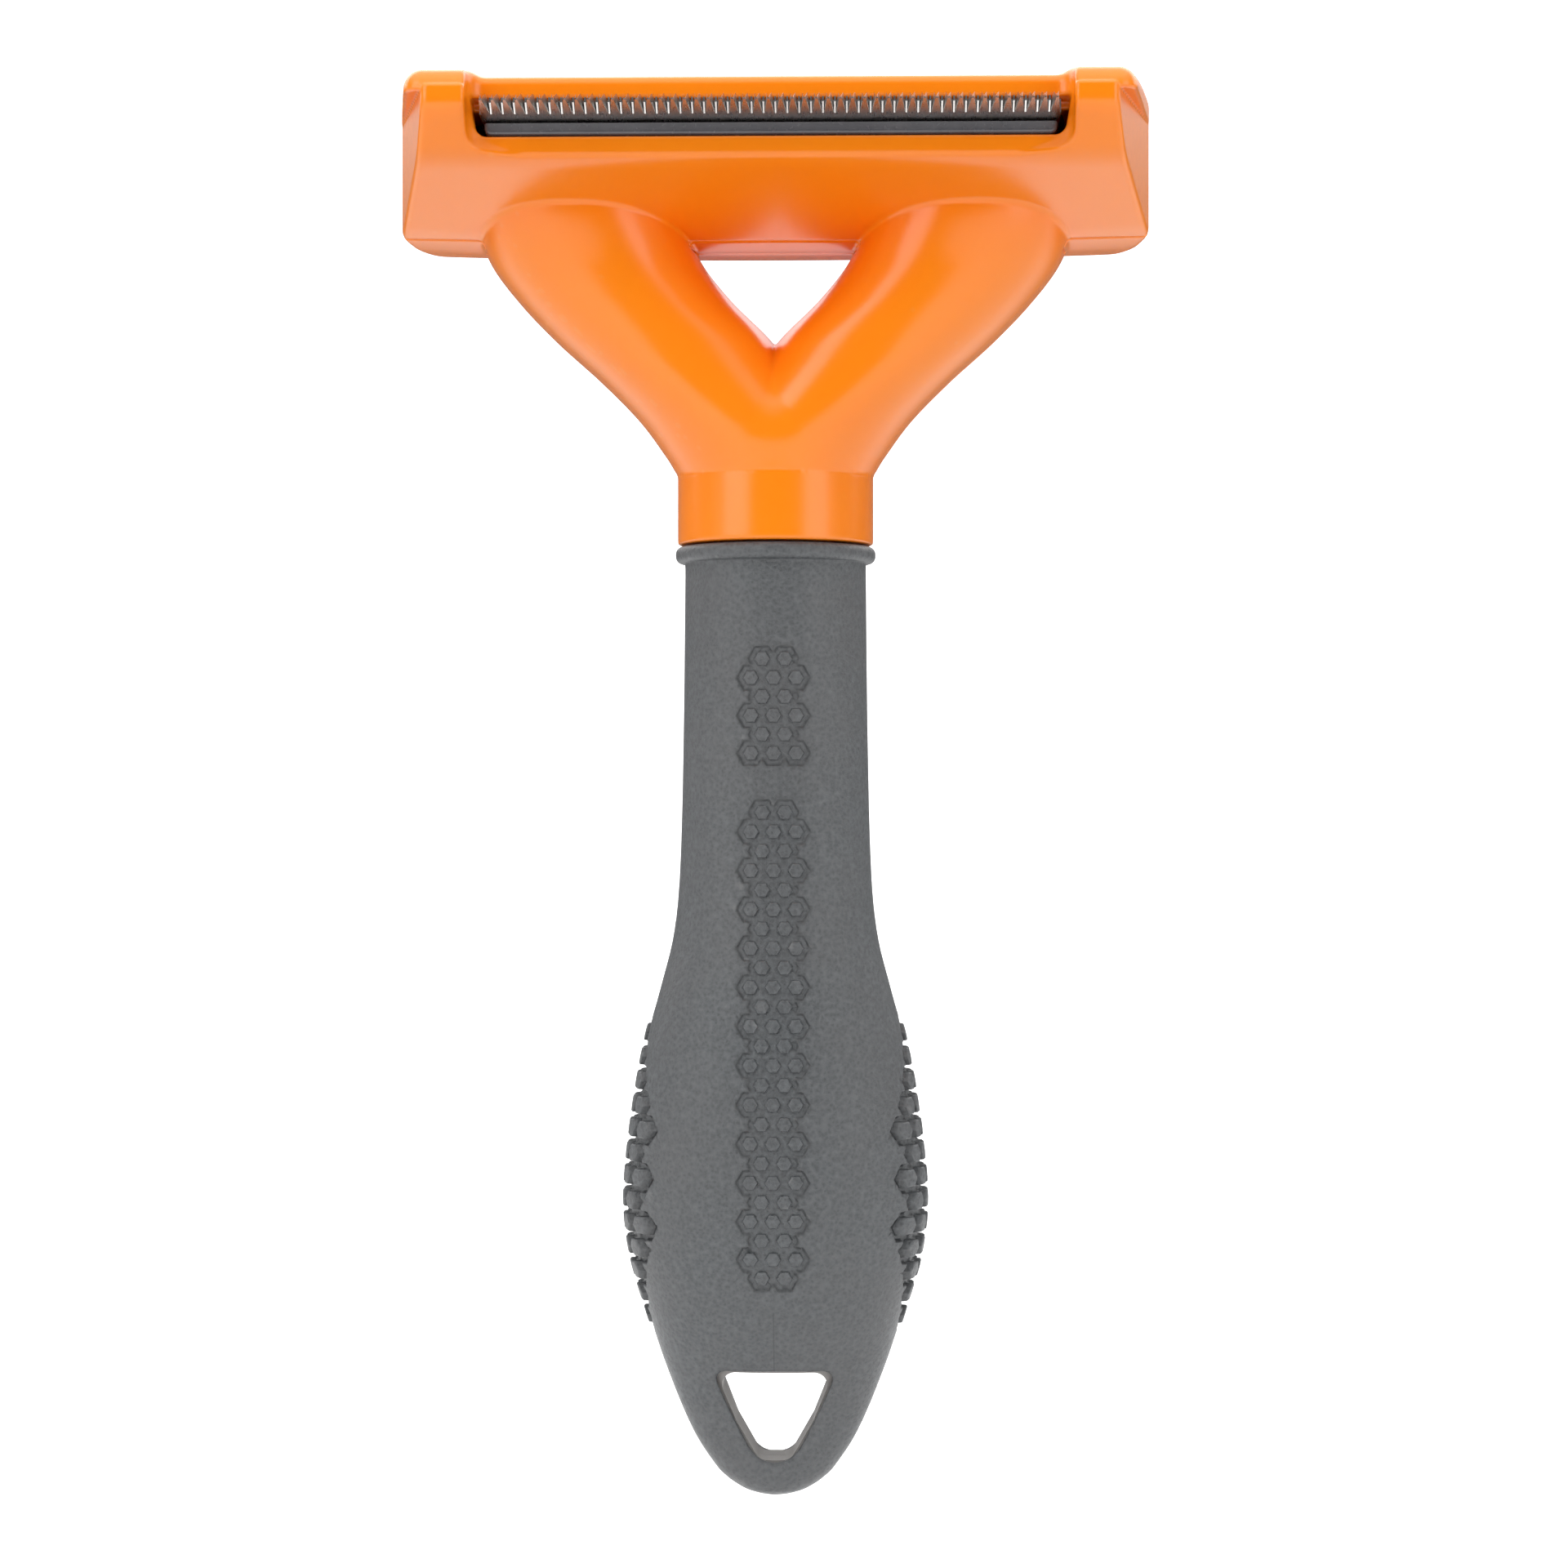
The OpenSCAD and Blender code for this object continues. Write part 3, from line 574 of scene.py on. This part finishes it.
def lean_with_blade(obj):
    """Moves a mesh made in the blade frame, in metres, into the shared frame."""
    lift = Matrix.Translation((0, 0, BLADE_Z * MM))
    obj.data.transform(lift @ Matrix.Rotation(-BLADE_LEAN, 4, "X"))


def prism(low, high):
    """Points and triangles between two loops of equally many points, closed at both ends."""
    n = len(low)
    faces = [(0, i + 1, i) for i in range(1, n - 1)]
    faces += [(n, n + i, n + i + 1) for i in range(1, n - 1)]
    for i in range(n):
        j = (i + 1) % n
        faces += [(i, j, n + j), (i, n + j, n + i)]
    return list(low) + list(high), faces


def tooth(x):
    """One tooth: a narrow wedge seen from above, ground thin toward its point."""
    tip_half, root_half, tip_t, knee = 0.13, 0.57, 0.16, 2.6
    top_share = 0.8
    root_y = TOOTH_ROOT_Y + 0.3
    knee_y = TOOTH_TIP_Y + knee
    knee_half = tip_half + (root_half - tip_half) * knee / (TOOTH_ROOT_Y - TOOTH_TIP_Y)
    outline = [(-root_half, root_y), (-knee_half, knee_y), (-tip_half, TOOTH_TIP_Y),
               (tip_half, TOOTH_TIP_Y), (knee_half, knee_y), (root_half, root_y)]
    tops = [BLADE_T, BLADE_T, tip_t, tip_t, BLADE_T, BLADE_T]
    low = [(x + u, v, 0.0) for u, v in outline]
    high = [(x + u * top_share, v, top) for (u, v), top in zip(outline, tops)]
    return prism(low, high)


def gap_ramp(x):
    """The bright cut at the root of a gap, sloping up from the underside between two teeth."""
    low_half, high_half, length, rise = 0.09, 0.1, 1.5, 0.9
    front_y = TOOTH_ROOT_Y - length
    low = [(x - low_half, TOOTH_ROOT_Y, 0.02), (x - high_half, front_y, rise),
           (x + high_half, front_y, rise), (x + low_half, TOOTH_ROOT_Y, 0.02)]
    high = [(u, v, BLADE_T - 0.01) for u, v, _ in low]
    return prism(low, high)


def blade_plate():
    """The flat of the blade behind the teeth, with its three screw holes."""
    half = TOOTH_COUNT * TOOTH_PITCH / 2
    corner = 0.8
    outline = [(-half, TOOTH_ROOT_Y), (half, TOOTH_ROOT_Y), (half, BLADE_REAR_Y - corner),
               (half - corner, BLADE_REAR_Y), (-half + corner, BLADE_REAR_Y),
               (-half, BLADE_REAR_Y - corner)]
    steps, hole_r = 24, 1.35
    ring = [2 * math.pi * i / steps for i in range(steps)]
    loops = [outline]
    for x in SCREW_HOLES_X:
        hole = [(hole_r * math.cos(t), hole_r * math.sin(t)) for t in ring]
        loops.append([(x + u, SCREW_HOLES_Y - v) for u, v in hole])
    flat = tessellate_polygon([[Vector((u, v, 0)) for u, v in loop] for loop in loops])
    corners = [point for loop in loops for point in loop]
    n = len(corners)
    points = [(u, v, z) for z in (0.0, BLADE_T) for u, v in corners]
    faces = [(a, b, c) for a, b, c in flat] + [(n + c, n + b, n + a) for a, b, c in flat]
    start = 0
    for loop in loops:
        for i in range(len(loop)):
            a, b = start + i, start + (i + 1) % len(loop)
            faces += [(a, b, n + b), (a, n + b, n + a)]
        start += len(loop)
    return points, faces


def build_comb():
    """The blade with its row of fine teeth."""
    middle = (TOOTH_COUNT - 1) / 2
    parts = [blade_plate()]
    parts += [tooth((i - middle) * TOOTH_PITCH) for i in range(TOOTH_COUNT)]
    parts += [gap_ramp((i - middle + 0.5) * TOOTH_PITCH) for i in range(TOOTH_COUNT - 1)]
    points, faces = [], []
    for part_points, part_faces in parts:
        faces += [[len(points) + i for i in face] for face in part_faces]
        points += part_points
    comb = mesh_object("toothed_blade", np.array(points, float) * MM, faces, smooth=False)
    lean_with_blade(comb)
    return comb


def build_bar():
    """The bar that pushes hair off the teeth, with a rolled lower edge and round ends."""
    g = Grid(
        (-BAR_HALF_W - 1, BAR_FRONT_Y - 0.6, BAR_LOW - 0.6),
        (BAR_HALF_W + 1, TONGUE_REAR_Y + 0.6, BAR_TOP + 0.6),
        0.12,
    )
    across = np.abs(g.x) - BAR_HALF_W
    upright = np.maximum(g.z - BAR_TOP, across)
    under = BAR_LOW + 0.2 - g.z
    strip = rounded_and(rounded_and(across, under, 0.9), BAR_FRONT_Y - g.y, 0.45)
    strip = rounded_and(strip, upright, 0.12)
    strip = np.maximum(strip, g.y - BAR_REAR_Y)
    tongue = np.maximum(np.abs(g.x) - TONGUE_HALF_W, np.maximum(under, g.z - TONGUE_TOP))
    tongue = np.maximum(tongue, np.maximum(BAR_REAR_Y - 0.3 - g.y, g.y - TONGUE_REAR_Y))
    bar = g.mesh("hair_bar", np.minimum(strip, tongue), 0.02)
    lean_with_blade(bar)
    return bar


def build_button():
    """The thumb button with its dished face, on the base bar inside the head."""
    g = Grid(
        (-BASE_HALF_W - 1, BASE_Y - 1, BASE_LOW - 1),
        (BASE_HALF_W + 1, BUTTON_END_Y + 1, BUTTON_Z + BUTTON_HALF_H + 1),
        0.2,
    )
    body = rounded_and(np.abs(g.x) - BUTTON_HALF_W, np.abs(g.z - BUTTON_Z) - BUTTON_HALF_H, 1.6)
    dish_y = BUTTON_END_Y + DISH_R - DISH_DEPTH
    dish = DISH_R - np.hypot(g.y - dish_y, g.z - BUTTON_Z)
    end = rounded_and(g.y - BUTTON_END_Y, dish, 0.4)
    body = rounded_and(body, end, 0.7)
    body = np.maximum(body, BASE_Y + BASE_T / 2 - g.y)
    base_depth = np.abs(g.y - BASE_Y - BASE_T / 2) - BASE_T / 2
    base = rounded_and(np.abs(g.x) - BASE_HALF_W, base_depth, 0.4)
    base = rounded_and(base, np.maximum(BASE_LOW - g.z, g.z - BASE_TOP), 0.3)
    button = g.mesh("thumb_button", rounded_or(body, base, 0.3), 0.02)
    lean_with_blade(button)
    return button


def build_spring(name, x):
    """A wound return spring around its rod, with the last turn at each end lying flat."""
    steps, facets = 36, 10
    count = SPRING_TURNS * steps
    length = BASE_Y - SPRING_FIXED_Y
    turn = np.arange(count + 1) / steps
    flat = 0.8  # turns at each end that do not rise
    rise = np.clip((turn - flat) / (SPRING_TURNS - 2 * flat), 0, 1)
    along = SPRING_WIRE_R + (length - 2 * SPRING_WIRE_R) * rise
    angle = 2 * math.pi * turn[:, None]
    around = 2 * math.pi * np.arange(facets)[None] / facets
    r = SPRING_R + SPRING_WIRE_R * np.cos(around)
    y = SPRING_FIXED_Y + along[:, None] + SPRING_WIRE_R * np.sin(around)
    points = np.stack([x + r * np.cos(angle), y, SPRING_Z + r * np.sin(angle)], axis=2)
    ring = np.arange(facets)
    after = (ring + 1) % facets
    this = np.arange(count)[:, None] * facets
    following = this + facets
    quads = np.stack([this + ring, this + after, following + after, following + ring], 2)
    last = count * facets
    caps = [(0, i, i + 1) for i in range(1, facets - 1)]
    caps += [(last, last + i + 1, last + i) for i in range(1, facets - 1)]
    spring = mesh_object(name, points.reshape(-1, 3) * MM, quads.reshape(-1, 4), caps)
    lean_with_blade(spring)
    return spring


# ---------- Materials ----------


class Nodes:
    """A short way to write a material's node tree."""

    def __init__(self, name):
        self.material = bpy.data.materials.new(name)
        self.material.use_nodes = True
        self.tree = self.material.node_tree
        self.shader = self.tree.nodes["Principled BSDF"]

    def add(self, kind, inputs=None, **settings):
        node = self.tree.nodes.new("ShaderNode" + kind)
        for key, value in settings.items():
            setattr(node, key, value)
        for key, value in (inputs or {}).items():
            self.put(node.inputs[key], value)
        return node

    def put(self, socket, value):
        if isinstance(value, bpy.types.NodeSocket):
            self.tree.links.new(value, socket)
        else:
            socket.default_value = value

    def set(self, **inputs):
        for key, value in inputs.items():
            self.put(self.shader.inputs[key.replace("_", " ")], value)

    def place(self):
        return self.add("NewGeometry").outputs["Position"]

    def noise(self, scale, detail=3.0, roughness=0.5, at=None):
        settings = {"Scale": scale, "Detail": detail, "Roughness": roughness}
        node = self.add("TexNoise", {"Vector": at or self.place(), **settings})
        return node.outputs["Fac"]

    def swirl(self, scale, reach, at):
        """A small random offset, for bending another pattern."""
        node = self.add("TexNoise", {"Vector": at, "Scale": scale, "Detail": 1.0})
        scaling = {0: node.outputs["Color"], "Scale": reach}
        return self.add("VectorMath", scaling, operation="SCALE").outputs[0]

    def spread(self, value, low, high, source=(0.0, 1.0)):
        """Maps a value from its source range onto low to high."""
        node = self.add(
            "MapRange",
            {"Value": value, "From Min": source[0], "From Max": source[1],
             "To Min": low, "To Max": high},
        )
        return node.outputs["Result"]

    def mix(self, share, a, b):
        node = self.add("Mix", data_type="RGBA")
        self.put(node.inputs["Factor"], share)
        self.put(node.inputs[6], a)
        self.put(node.inputs[7], b)
        return node.outputs[2]

    def math(self, operation, a, b=0.0):
        node = self.add("Math", operation=operation)
        self.put(node.inputs[0], a)
        self.put(node.inputs[1], b)
        return node.outputs[0]

    def bump(self, height, depth, strength=1.0):
        node = self.add("Bump", {"Height": height, "Distance": depth, "Strength": strength})
        return node.outputs["Normal"]

    def worn(self, low=0.54, high=0.64):
        """1 on the convex edges of a finely divided mesh, 0 elsewhere."""
        return self.spread(self.add("NewGeometry").outputs["Pointiness"], 0, 1, (low, high))

    def mark(self, name):
        """A value kept on the mesh, 0 where there is none."""
        return self.add("Attribute", attribute_name=name).outputs["Fac"]

    def edges(self, radius, low=0.02, high=0.25):
        """1 on convex edges, 0 on flat areas, from the bevel-rounded normal."""
        rounded = self.add("Bevel", {"Radius": radius}, samples=4).outputs["Normal"]
        plain = self.add("NewGeometry").outputs["Normal"]
        turn = self.add("VectorMath", {0: rounded, 1: plain}, operation="DOT_PRODUCT")
        return self.spread(self.math("SUBTRACT", 1.0, turn.outputs["Value"]), 0, 1, (low, high))


def orange_plastic():
    """Satin orange, slightly see-through at thin places, and paler along its worn edges."""
    m = Nodes("orange_plastic")
    cloud = m.spread(m.noise(45, 3), 0, 1, (0.3, 0.7))
    base = m.mix(cloud, (0.94, 0.225, 0.005, 1), (0.97, 0.245, 0.007, 1))
    worn = m.mix(m.spread(m.worn(), 0, 0.25), base, (0.95, 0.32, 0.05, 1))
    grain = m.noise(5200, 2, 0.6)
    m.set(
        Base_Color=worn,
        Roughness=m.spread(m.noise(900, 4), 0.17, 0.26),
        Specular_IOR_Level=0.42,
        Subsurface_Weight=0.1,
        Subsurface_Radius=(0.004, 0.0015, 0.0005),
        Subsurface_Scale=0.6,
        Normal=m.bump(grain, 0.00002, 0.35),
    )
    return m.material


def moulding_line(m, at):
    """1 on the fine line up the middle of the small end, above the hang hole."""
    half_w, soft_half_w = 0.00004, 0.0001
    middle_z, half_length, soft_half_length = 0.009, 0.0045, 0.0047
    x, _, z = m.add("SeparateXYZ", {"Vector": at}).outputs
    from_middle = m.math("ABSOLUTE", m.math("SUBTRACT", z, middle_z))
    beside = m.spread(m.math("ABSOLUTE", x), 1, 0, (half_w, soft_half_w))
    within = m.spread(from_middle, 1, 0, (half_length, soft_half_length))
    return m.math("MULTIPLY", beside, within)


def grey_rubber():
    """Dark rubber with a fine leather grain, with painted shade along the outlines of the grip
    patches.
    """
    m = Nodes("grey_rubber")
    at = m.place()
    bent = m.add("VectorMath", {0: at, 1: m.swirl(1500, 0.00035, at)}, operation="ADD").outputs[0]
    cells = m.add("TexVoronoi", {"Vector": bent, "Scale": 2100.0}, feature="SMOOTH_F1")
    cells = cells.outputs["Distance"]
    fine = m.noise(4200, 4, 0.7, at)
    height = m.math("ADD", m.math("MULTIPLY", cells, 0.6), m.math("MULTIPLY", fine, 0.6))
    tone = m.spread(height, 0, 1, (0.3, 0.9))
    base = m.mix(tone, (0.03, 0.034, 0.037, 1), (0.104, 0.112, 0.118, 1))
    cloud = m.spread(m.noise(60, 3, 0.5, at), 0, 0.35, (0.35, 0.7))
    base = m.mix(cloud, base, (0.078, 0.075, 0.076, 1))
    # painted shade: near-black rubber along the patch outlines
    base = m.mix(m.spread(m.mark("painted_groove_shade"), 0, 0.75), base, (0.012, 0.013, 0.014, 1))
    base = m.mix(m.spread(m.worn(), 0, 0.3), base, (0.19, 0.19, 0.19, 1))
    base = m.mix(m.spread(moulding_line(m, at), 0, 0.6), base, (0.02, 0.021, 0.022, 1))
    m.set(
        Base_Color=base,
        Roughness=m.spread(fine, 0.36, 0.52),
        Specular_IOR_Level=0.6,
        Normal=m.bump(height, 0.00014, 0.8),
    )
    return m.material


def ground_steel():
    """Bare steel with fine grinding lines along the blade."""
    m = Nodes("ground_steel")
    at = m.place()
    stretched = m.add("Mapping", {"Vector": at, "Scale": (5000.0, 500.0, 500.0)}).outputs["Vector"]
    lines = m.noise(1.0, 4, 0.6, stretched)
    blotch = m.noise(260, 3, 0.5, at)
    base = m.mix(m.spread(blotch, 0, 1, (0.3, 0.7)), (0.5, 0.47, 0.45, 1), (0.62, 0.6, 0.58, 1))
    m.set(
        Base_Color=m.mix(m.spread(lines, 0, 0.25), base, (0.35, 0.34, 0.33, 1)),
        Metallic=1.0,
        Roughness=m.spread(lines, 0.2, 0.38),
        Normal=m.bump(lines, 0.00002, 0.4),
    )
    return m.material


def plated_steel():
    """Dull plated steel of the screws, bushes and springs."""
    m = Nodes("plated_steel")
    at = m.place()
    blotch = m.noise(700, 4, 0.6, at)
    base = m.mix(m.spread(blotch, 0, 1, (0.3, 0.7)), (0.52, 0.52, 0.54, 1), (0.68, 0.67, 0.66, 1))
    m.set(
        Base_Color=base,
        Metallic=1.0,
        Roughness=m.spread(blotch, 0.22, 0.4),
        Normal=m.bump(m.noise(3500, 2, 0.5, at), 0.00002, 0.3),
    )
    return m.material


def gloss_grey_plastic():
    """Glossy dark grey, paler along its worn edges."""
    m = Nodes("gloss_grey_plastic")
    at = m.place()
    cloud = m.spread(m.noise(200, 3, 0.5, at), 0, 1, (0.3, 0.7))
    base = m.mix(cloud, (0.075, 0.075, 0.085, 1), (0.1, 0.1, 0.11, 1))
    worn = m.mix(m.spread(m.edges(0.0003), 0, 0.4), base, (0.2, 0.2, 0.21, 1))
    m.set(
        Base_Color=worn,
        Roughness=m.spread(m.noise(1500, 3, 0.5, at), 0.2, 0.32),
        Normal=m.bump(m.noise(3500, 2, 0.5, at), 0.00001, 0.3),
    )
    return m.material


def black_plastic():
    """Matte black of the blade carrier."""
    m = Nodes("black_plastic")
    at = m.place()
    grain = m.noise(2500, 3, 0.6, at)
    m.set(
        Base_Color=m.mix(grain, (0.02, 0.02, 0.022, 1), (0.04, 0.04, 0.043, 1)),
        Roughness=m.spread(grain, 0.45, 0.65),
        Normal=m.bump(grain, 0.00003, 0.4),
    )
    return m.material


def light_grey_plastic():
    """Warm light grey of the handle core, seen inside the hang hole."""
    m = Nodes("light_grey_plastic")
    at = m.place()
    cloud = m.spread(m.noise(150, 4, 0.6, at), 0, 1, (0.3, 0.7))
    grain = m.noise(3800, 3, 0.6, at)
    base = m.mix(cloud, (0.25, 0.235, 0.225, 1), (0.32, 0.305, 0.295, 1))
    m.set(
        Base_Color=base,
        Roughness=m.spread(grain, 0.4, 0.6),
        Normal=m.bump(grain, 0.00003, 0.4),
    )
    return m.material


def finish_with(obj, material):
    """Gives an object this material only."""
    obj.data.materials.clear()
    obj.data.materials.append(material)


# ---------- Stage, light and camera ----------


def build_stage():
    """A pale floor that curves up into a backdrop."""
    gap_below_tip = 22
    floor_z = (TIP_Z - gap_below_tip) * MM
    front_y, curve_y, curve_r, top_z, half_w = -1.2, 0.35, 0.35, 1.6, 2.5
    profile = [(front_y, floor_z), (curve_y, floor_z)]
    curve_steps = 12
    for i in range(1, curve_steps + 1):
        angle = math.radians(90 * i / curve_steps)
        rise = curve_r * (1 - math.cos(angle))
        profile.append((curve_y + curve_r * math.sin(angle), floor_z + rise))
    profile.append((curve_y + curve_r, top_z))
    points = [(x, y, z) for y, z in profile for x in (-half_w, half_w)]
    faces = [(2 * i, 2 * i + 1, 2 * i + 3, 2 * i + 2) for i in range(len(profile) - 1)]
    stage = mesh_object("pale_floor", points, faces)
    m = Nodes("pale_floor")
    path = m.add("LightPath").outputs
    seen = path["Is Camera Ray"]
    _, depth, height = m.add("SeparateXYZ", {"Vector": m.place()}).outputs
    behind = m.spread(depth, 0, 1, (0.2, 0.5))
    high = m.math("MULTIPLY", behind, m.spread(height, 0, 1, (0.25, 0.6)))
    pale = m.mix(m.noise(3, 2), (0.86, 0.86, 0.86, 1), (0.9, 0.9, 0.9, 1))
    bounced = m.mix(behind, (0.62, 0.62, 0.62, 1), (0.2, 0.2, 0.2, 1))
    # what glossy surfaces see: a bright table below and a bright panel high up behind
    mirrored = m.math("ADD", m.spread(behind, 1.2, 0), m.math("MULTIPLY", high, 3.0))
    mirrored = m.math("MULTIPLY", mirrored, path["Is Glossy Ray"])
    m.set(
        Base_Color=m.mix(seen, bounced, pale),
        Roughness=0.9,
        Emission_Color=(1, 1, 1, 1),
        Emission_Strength=m.math("MAXIMUM", m.math("MULTIPLY", seen, 0.6), mirrored),
    )
    finish_with(stage, m.material)


def add_panel(name, place, aim, size, power):
    """A rectangular lamp at a place, facing the aim."""
    light = bpy.data.lights.new(name, "AREA")
    light.shape = "RECTANGLE"
    light.size, light.size_y = size
    light.energy = power
    obj = bpy.data.objects.new(name, light)
    obj.location = place
    direction = Vector(aim) - Vector(place)
    obj.rotation_euler = direction.to_track_quat("-Z", "Y").to_euler()
    bpy.context.scene.collection.objects.link(obj)


def build_light():
    """A white studio: bright above, below and behind, with a wide soft panel to each side of
    the camera and a dimmer gap where the camera stands."""
    world = bpy.data.worlds.new("studio")
    world.use_nodes = True
    tree = world.node_tree

    def add(kind, *inputs, **settings):
        node = tree.nodes.new("ShaderNode" + kind)
        for key, value in settings.items():
            setattr(node, key, value)
        for socket, value in zip(node.inputs, inputs):
            if isinstance(value, bpy.types.NodeSocket):
                tree.links.new(value, socket)
            else:
                socket.default_value = value
        return node.outputs[0]

    direction = tree.nodes.new("ShaderNodeTexCoord").outputs["Generated"]
    split = tree.nodes.new("ShaderNodeSeparateXYZ")
    tree.links.new(direction, split.inputs[0])
    x, y, z = split.outputs
    aside = add("Math", x, operation="ABSOLUTE")
    toward_camera = add("Math", y, -1, operation="MULTIPLY")
    turn = add("Math", aside, toward_camera, operation="ARCTAN2")
    turn = add("Math", turn, math.pi, operation="DIVIDE")
    level = tree.nodes.new("ShaderNodeValToRGB")
    tree.links.new(turn, level.inputs[0])
    ramp = level.color_ramp
    ramp.interpolation = "EASE"
    # share of a half turn away from the camera, and brightness there
    steps = [(0.12, 0.02), (0.22, 0.95), (0.36, 0.95), (0.47, 0.35), (0.6, 0.5), (0.8, 0.4)]
    for i, (place, brightness) in enumerate(steps):
        stop = ramp.elements[i] if i < 2 else ramp.elements.new(place)
        stop.position = place
        stop.color = (brightness, brightness, brightness, 1)
    # straight above and below, the sky is evenly bright
    overhead = 2.1
    steep = add("MapRange", add("Math", z, operation="ABSOLUTE"), 0.5, 0.85, 0.0, 1.0)
    strength = add("MapRange", steep, 0.0, 1.0, level.outputs[0], overhead)
    background = tree.nodes["Background"]
    background.inputs["Color"].default_value = (1, 1, 1, 1)
    seen = tree.nodes.new("ShaderNodeLightPath").outputs["Is Camera Ray"]
    strength = add("Math", strength, seen, operation="MAXIMUM")
    tree.links.new(strength, background.inputs["Strength"])
    bpy.context.scene.world = world
    bpy.context.scene.view_settings.view_transform = "Standard"

    middle = (0, 0, 0.09)
    add_panel("key_left", (-0.55, -0.55, 0.45), middle, (0.5, 0.7), 2.8)
    add_panel("fill_right", (0.6, -0.5, 0.2), middle, (0.4, 0.7), 1.6)


def build_camera():
    """A view from the front, level with the handle's middle and a little to the right."""
    distance = 0.42
    turn = math.radians(1.4)
    target = Vector((0.001, 0, 0.0752))
    camera = bpy.data.cameras.new("camera")
    camera.sensor_width = 36
    camera.lens = 80.87
    camera.clip_start = 0.01
    obj = bpy.data.objects.new("camera", camera)
    obj.location = target + Vector((math.sin(turn), -math.cos(turn), 0)) * distance
    obj.rotation_euler = (target - obj.location).to_track_quat("-Z", "Y").to_euler()
    bpy.context.scene.collection.objects.link(obj)
    bpy.context.scene.camera = obj


# ---------- Build ----------

ORANGE = orange_plastic()
RUBBER = grey_rubber()
STEEL = ground_steel()
PLATED = plated_steel()
GLOSS = gloss_grey_plastic()
BLACK = black_plastic()
LIGHT_GREY = light_grey_plastic()


def fit(obj, body, material, node=None):
    """Gives a piece its material and body, and lets it stand in for a CAD node."""
    finish_with(obj, material)
    if node:
        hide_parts(node)
    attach(obj, body)


front_shell, rear_shell = build_shells()
fit(front_shell, "handle", ORANGE, "front_shell")
fit(rear_shell, "handle", ORANGE, "rear_shell")
fit(build_sleeve(), "handle", RUBBER, "grip_sleeve")
fit(build_pads(), "handle", RUBBER)
fit(build_comb(), "handle", STEEL, "comb_blade")
fit(build_bar(), "ejector", GLOSS, "ejector_bar")
fit(build_button(), "ejector", GLOSS, "eject_button")

for side, node in ((-1, "spring_left"), (1, "spring_right")):
    spring = build_spring("wound_" + node, side * SPRING_X)
    fit(spring, "handle", PLATED, node)
    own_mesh(spring)

CARRIED_OVER = {
    "blade_carrier": BLACK, "carrier_screws": PLATED, "guide_bushes": PLATED,
    "bush_washers": PLATED, "blade_screws": PLATED, "ejector_slider": STEEL,
    "bar_rivets": PLATED, "button_screw": PLATED, "spring_rods": PLATED,
    "case_screws": PLATED, "neck_screws": PLATED, "core_front_half": LIGHT_GREY,
    "core_rear_half": LIGHT_GREY,
}
for node, material in CARRIED_OVER.items():
    finish_with(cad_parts[node], material)

build_stage()
build_light()
build_camera()
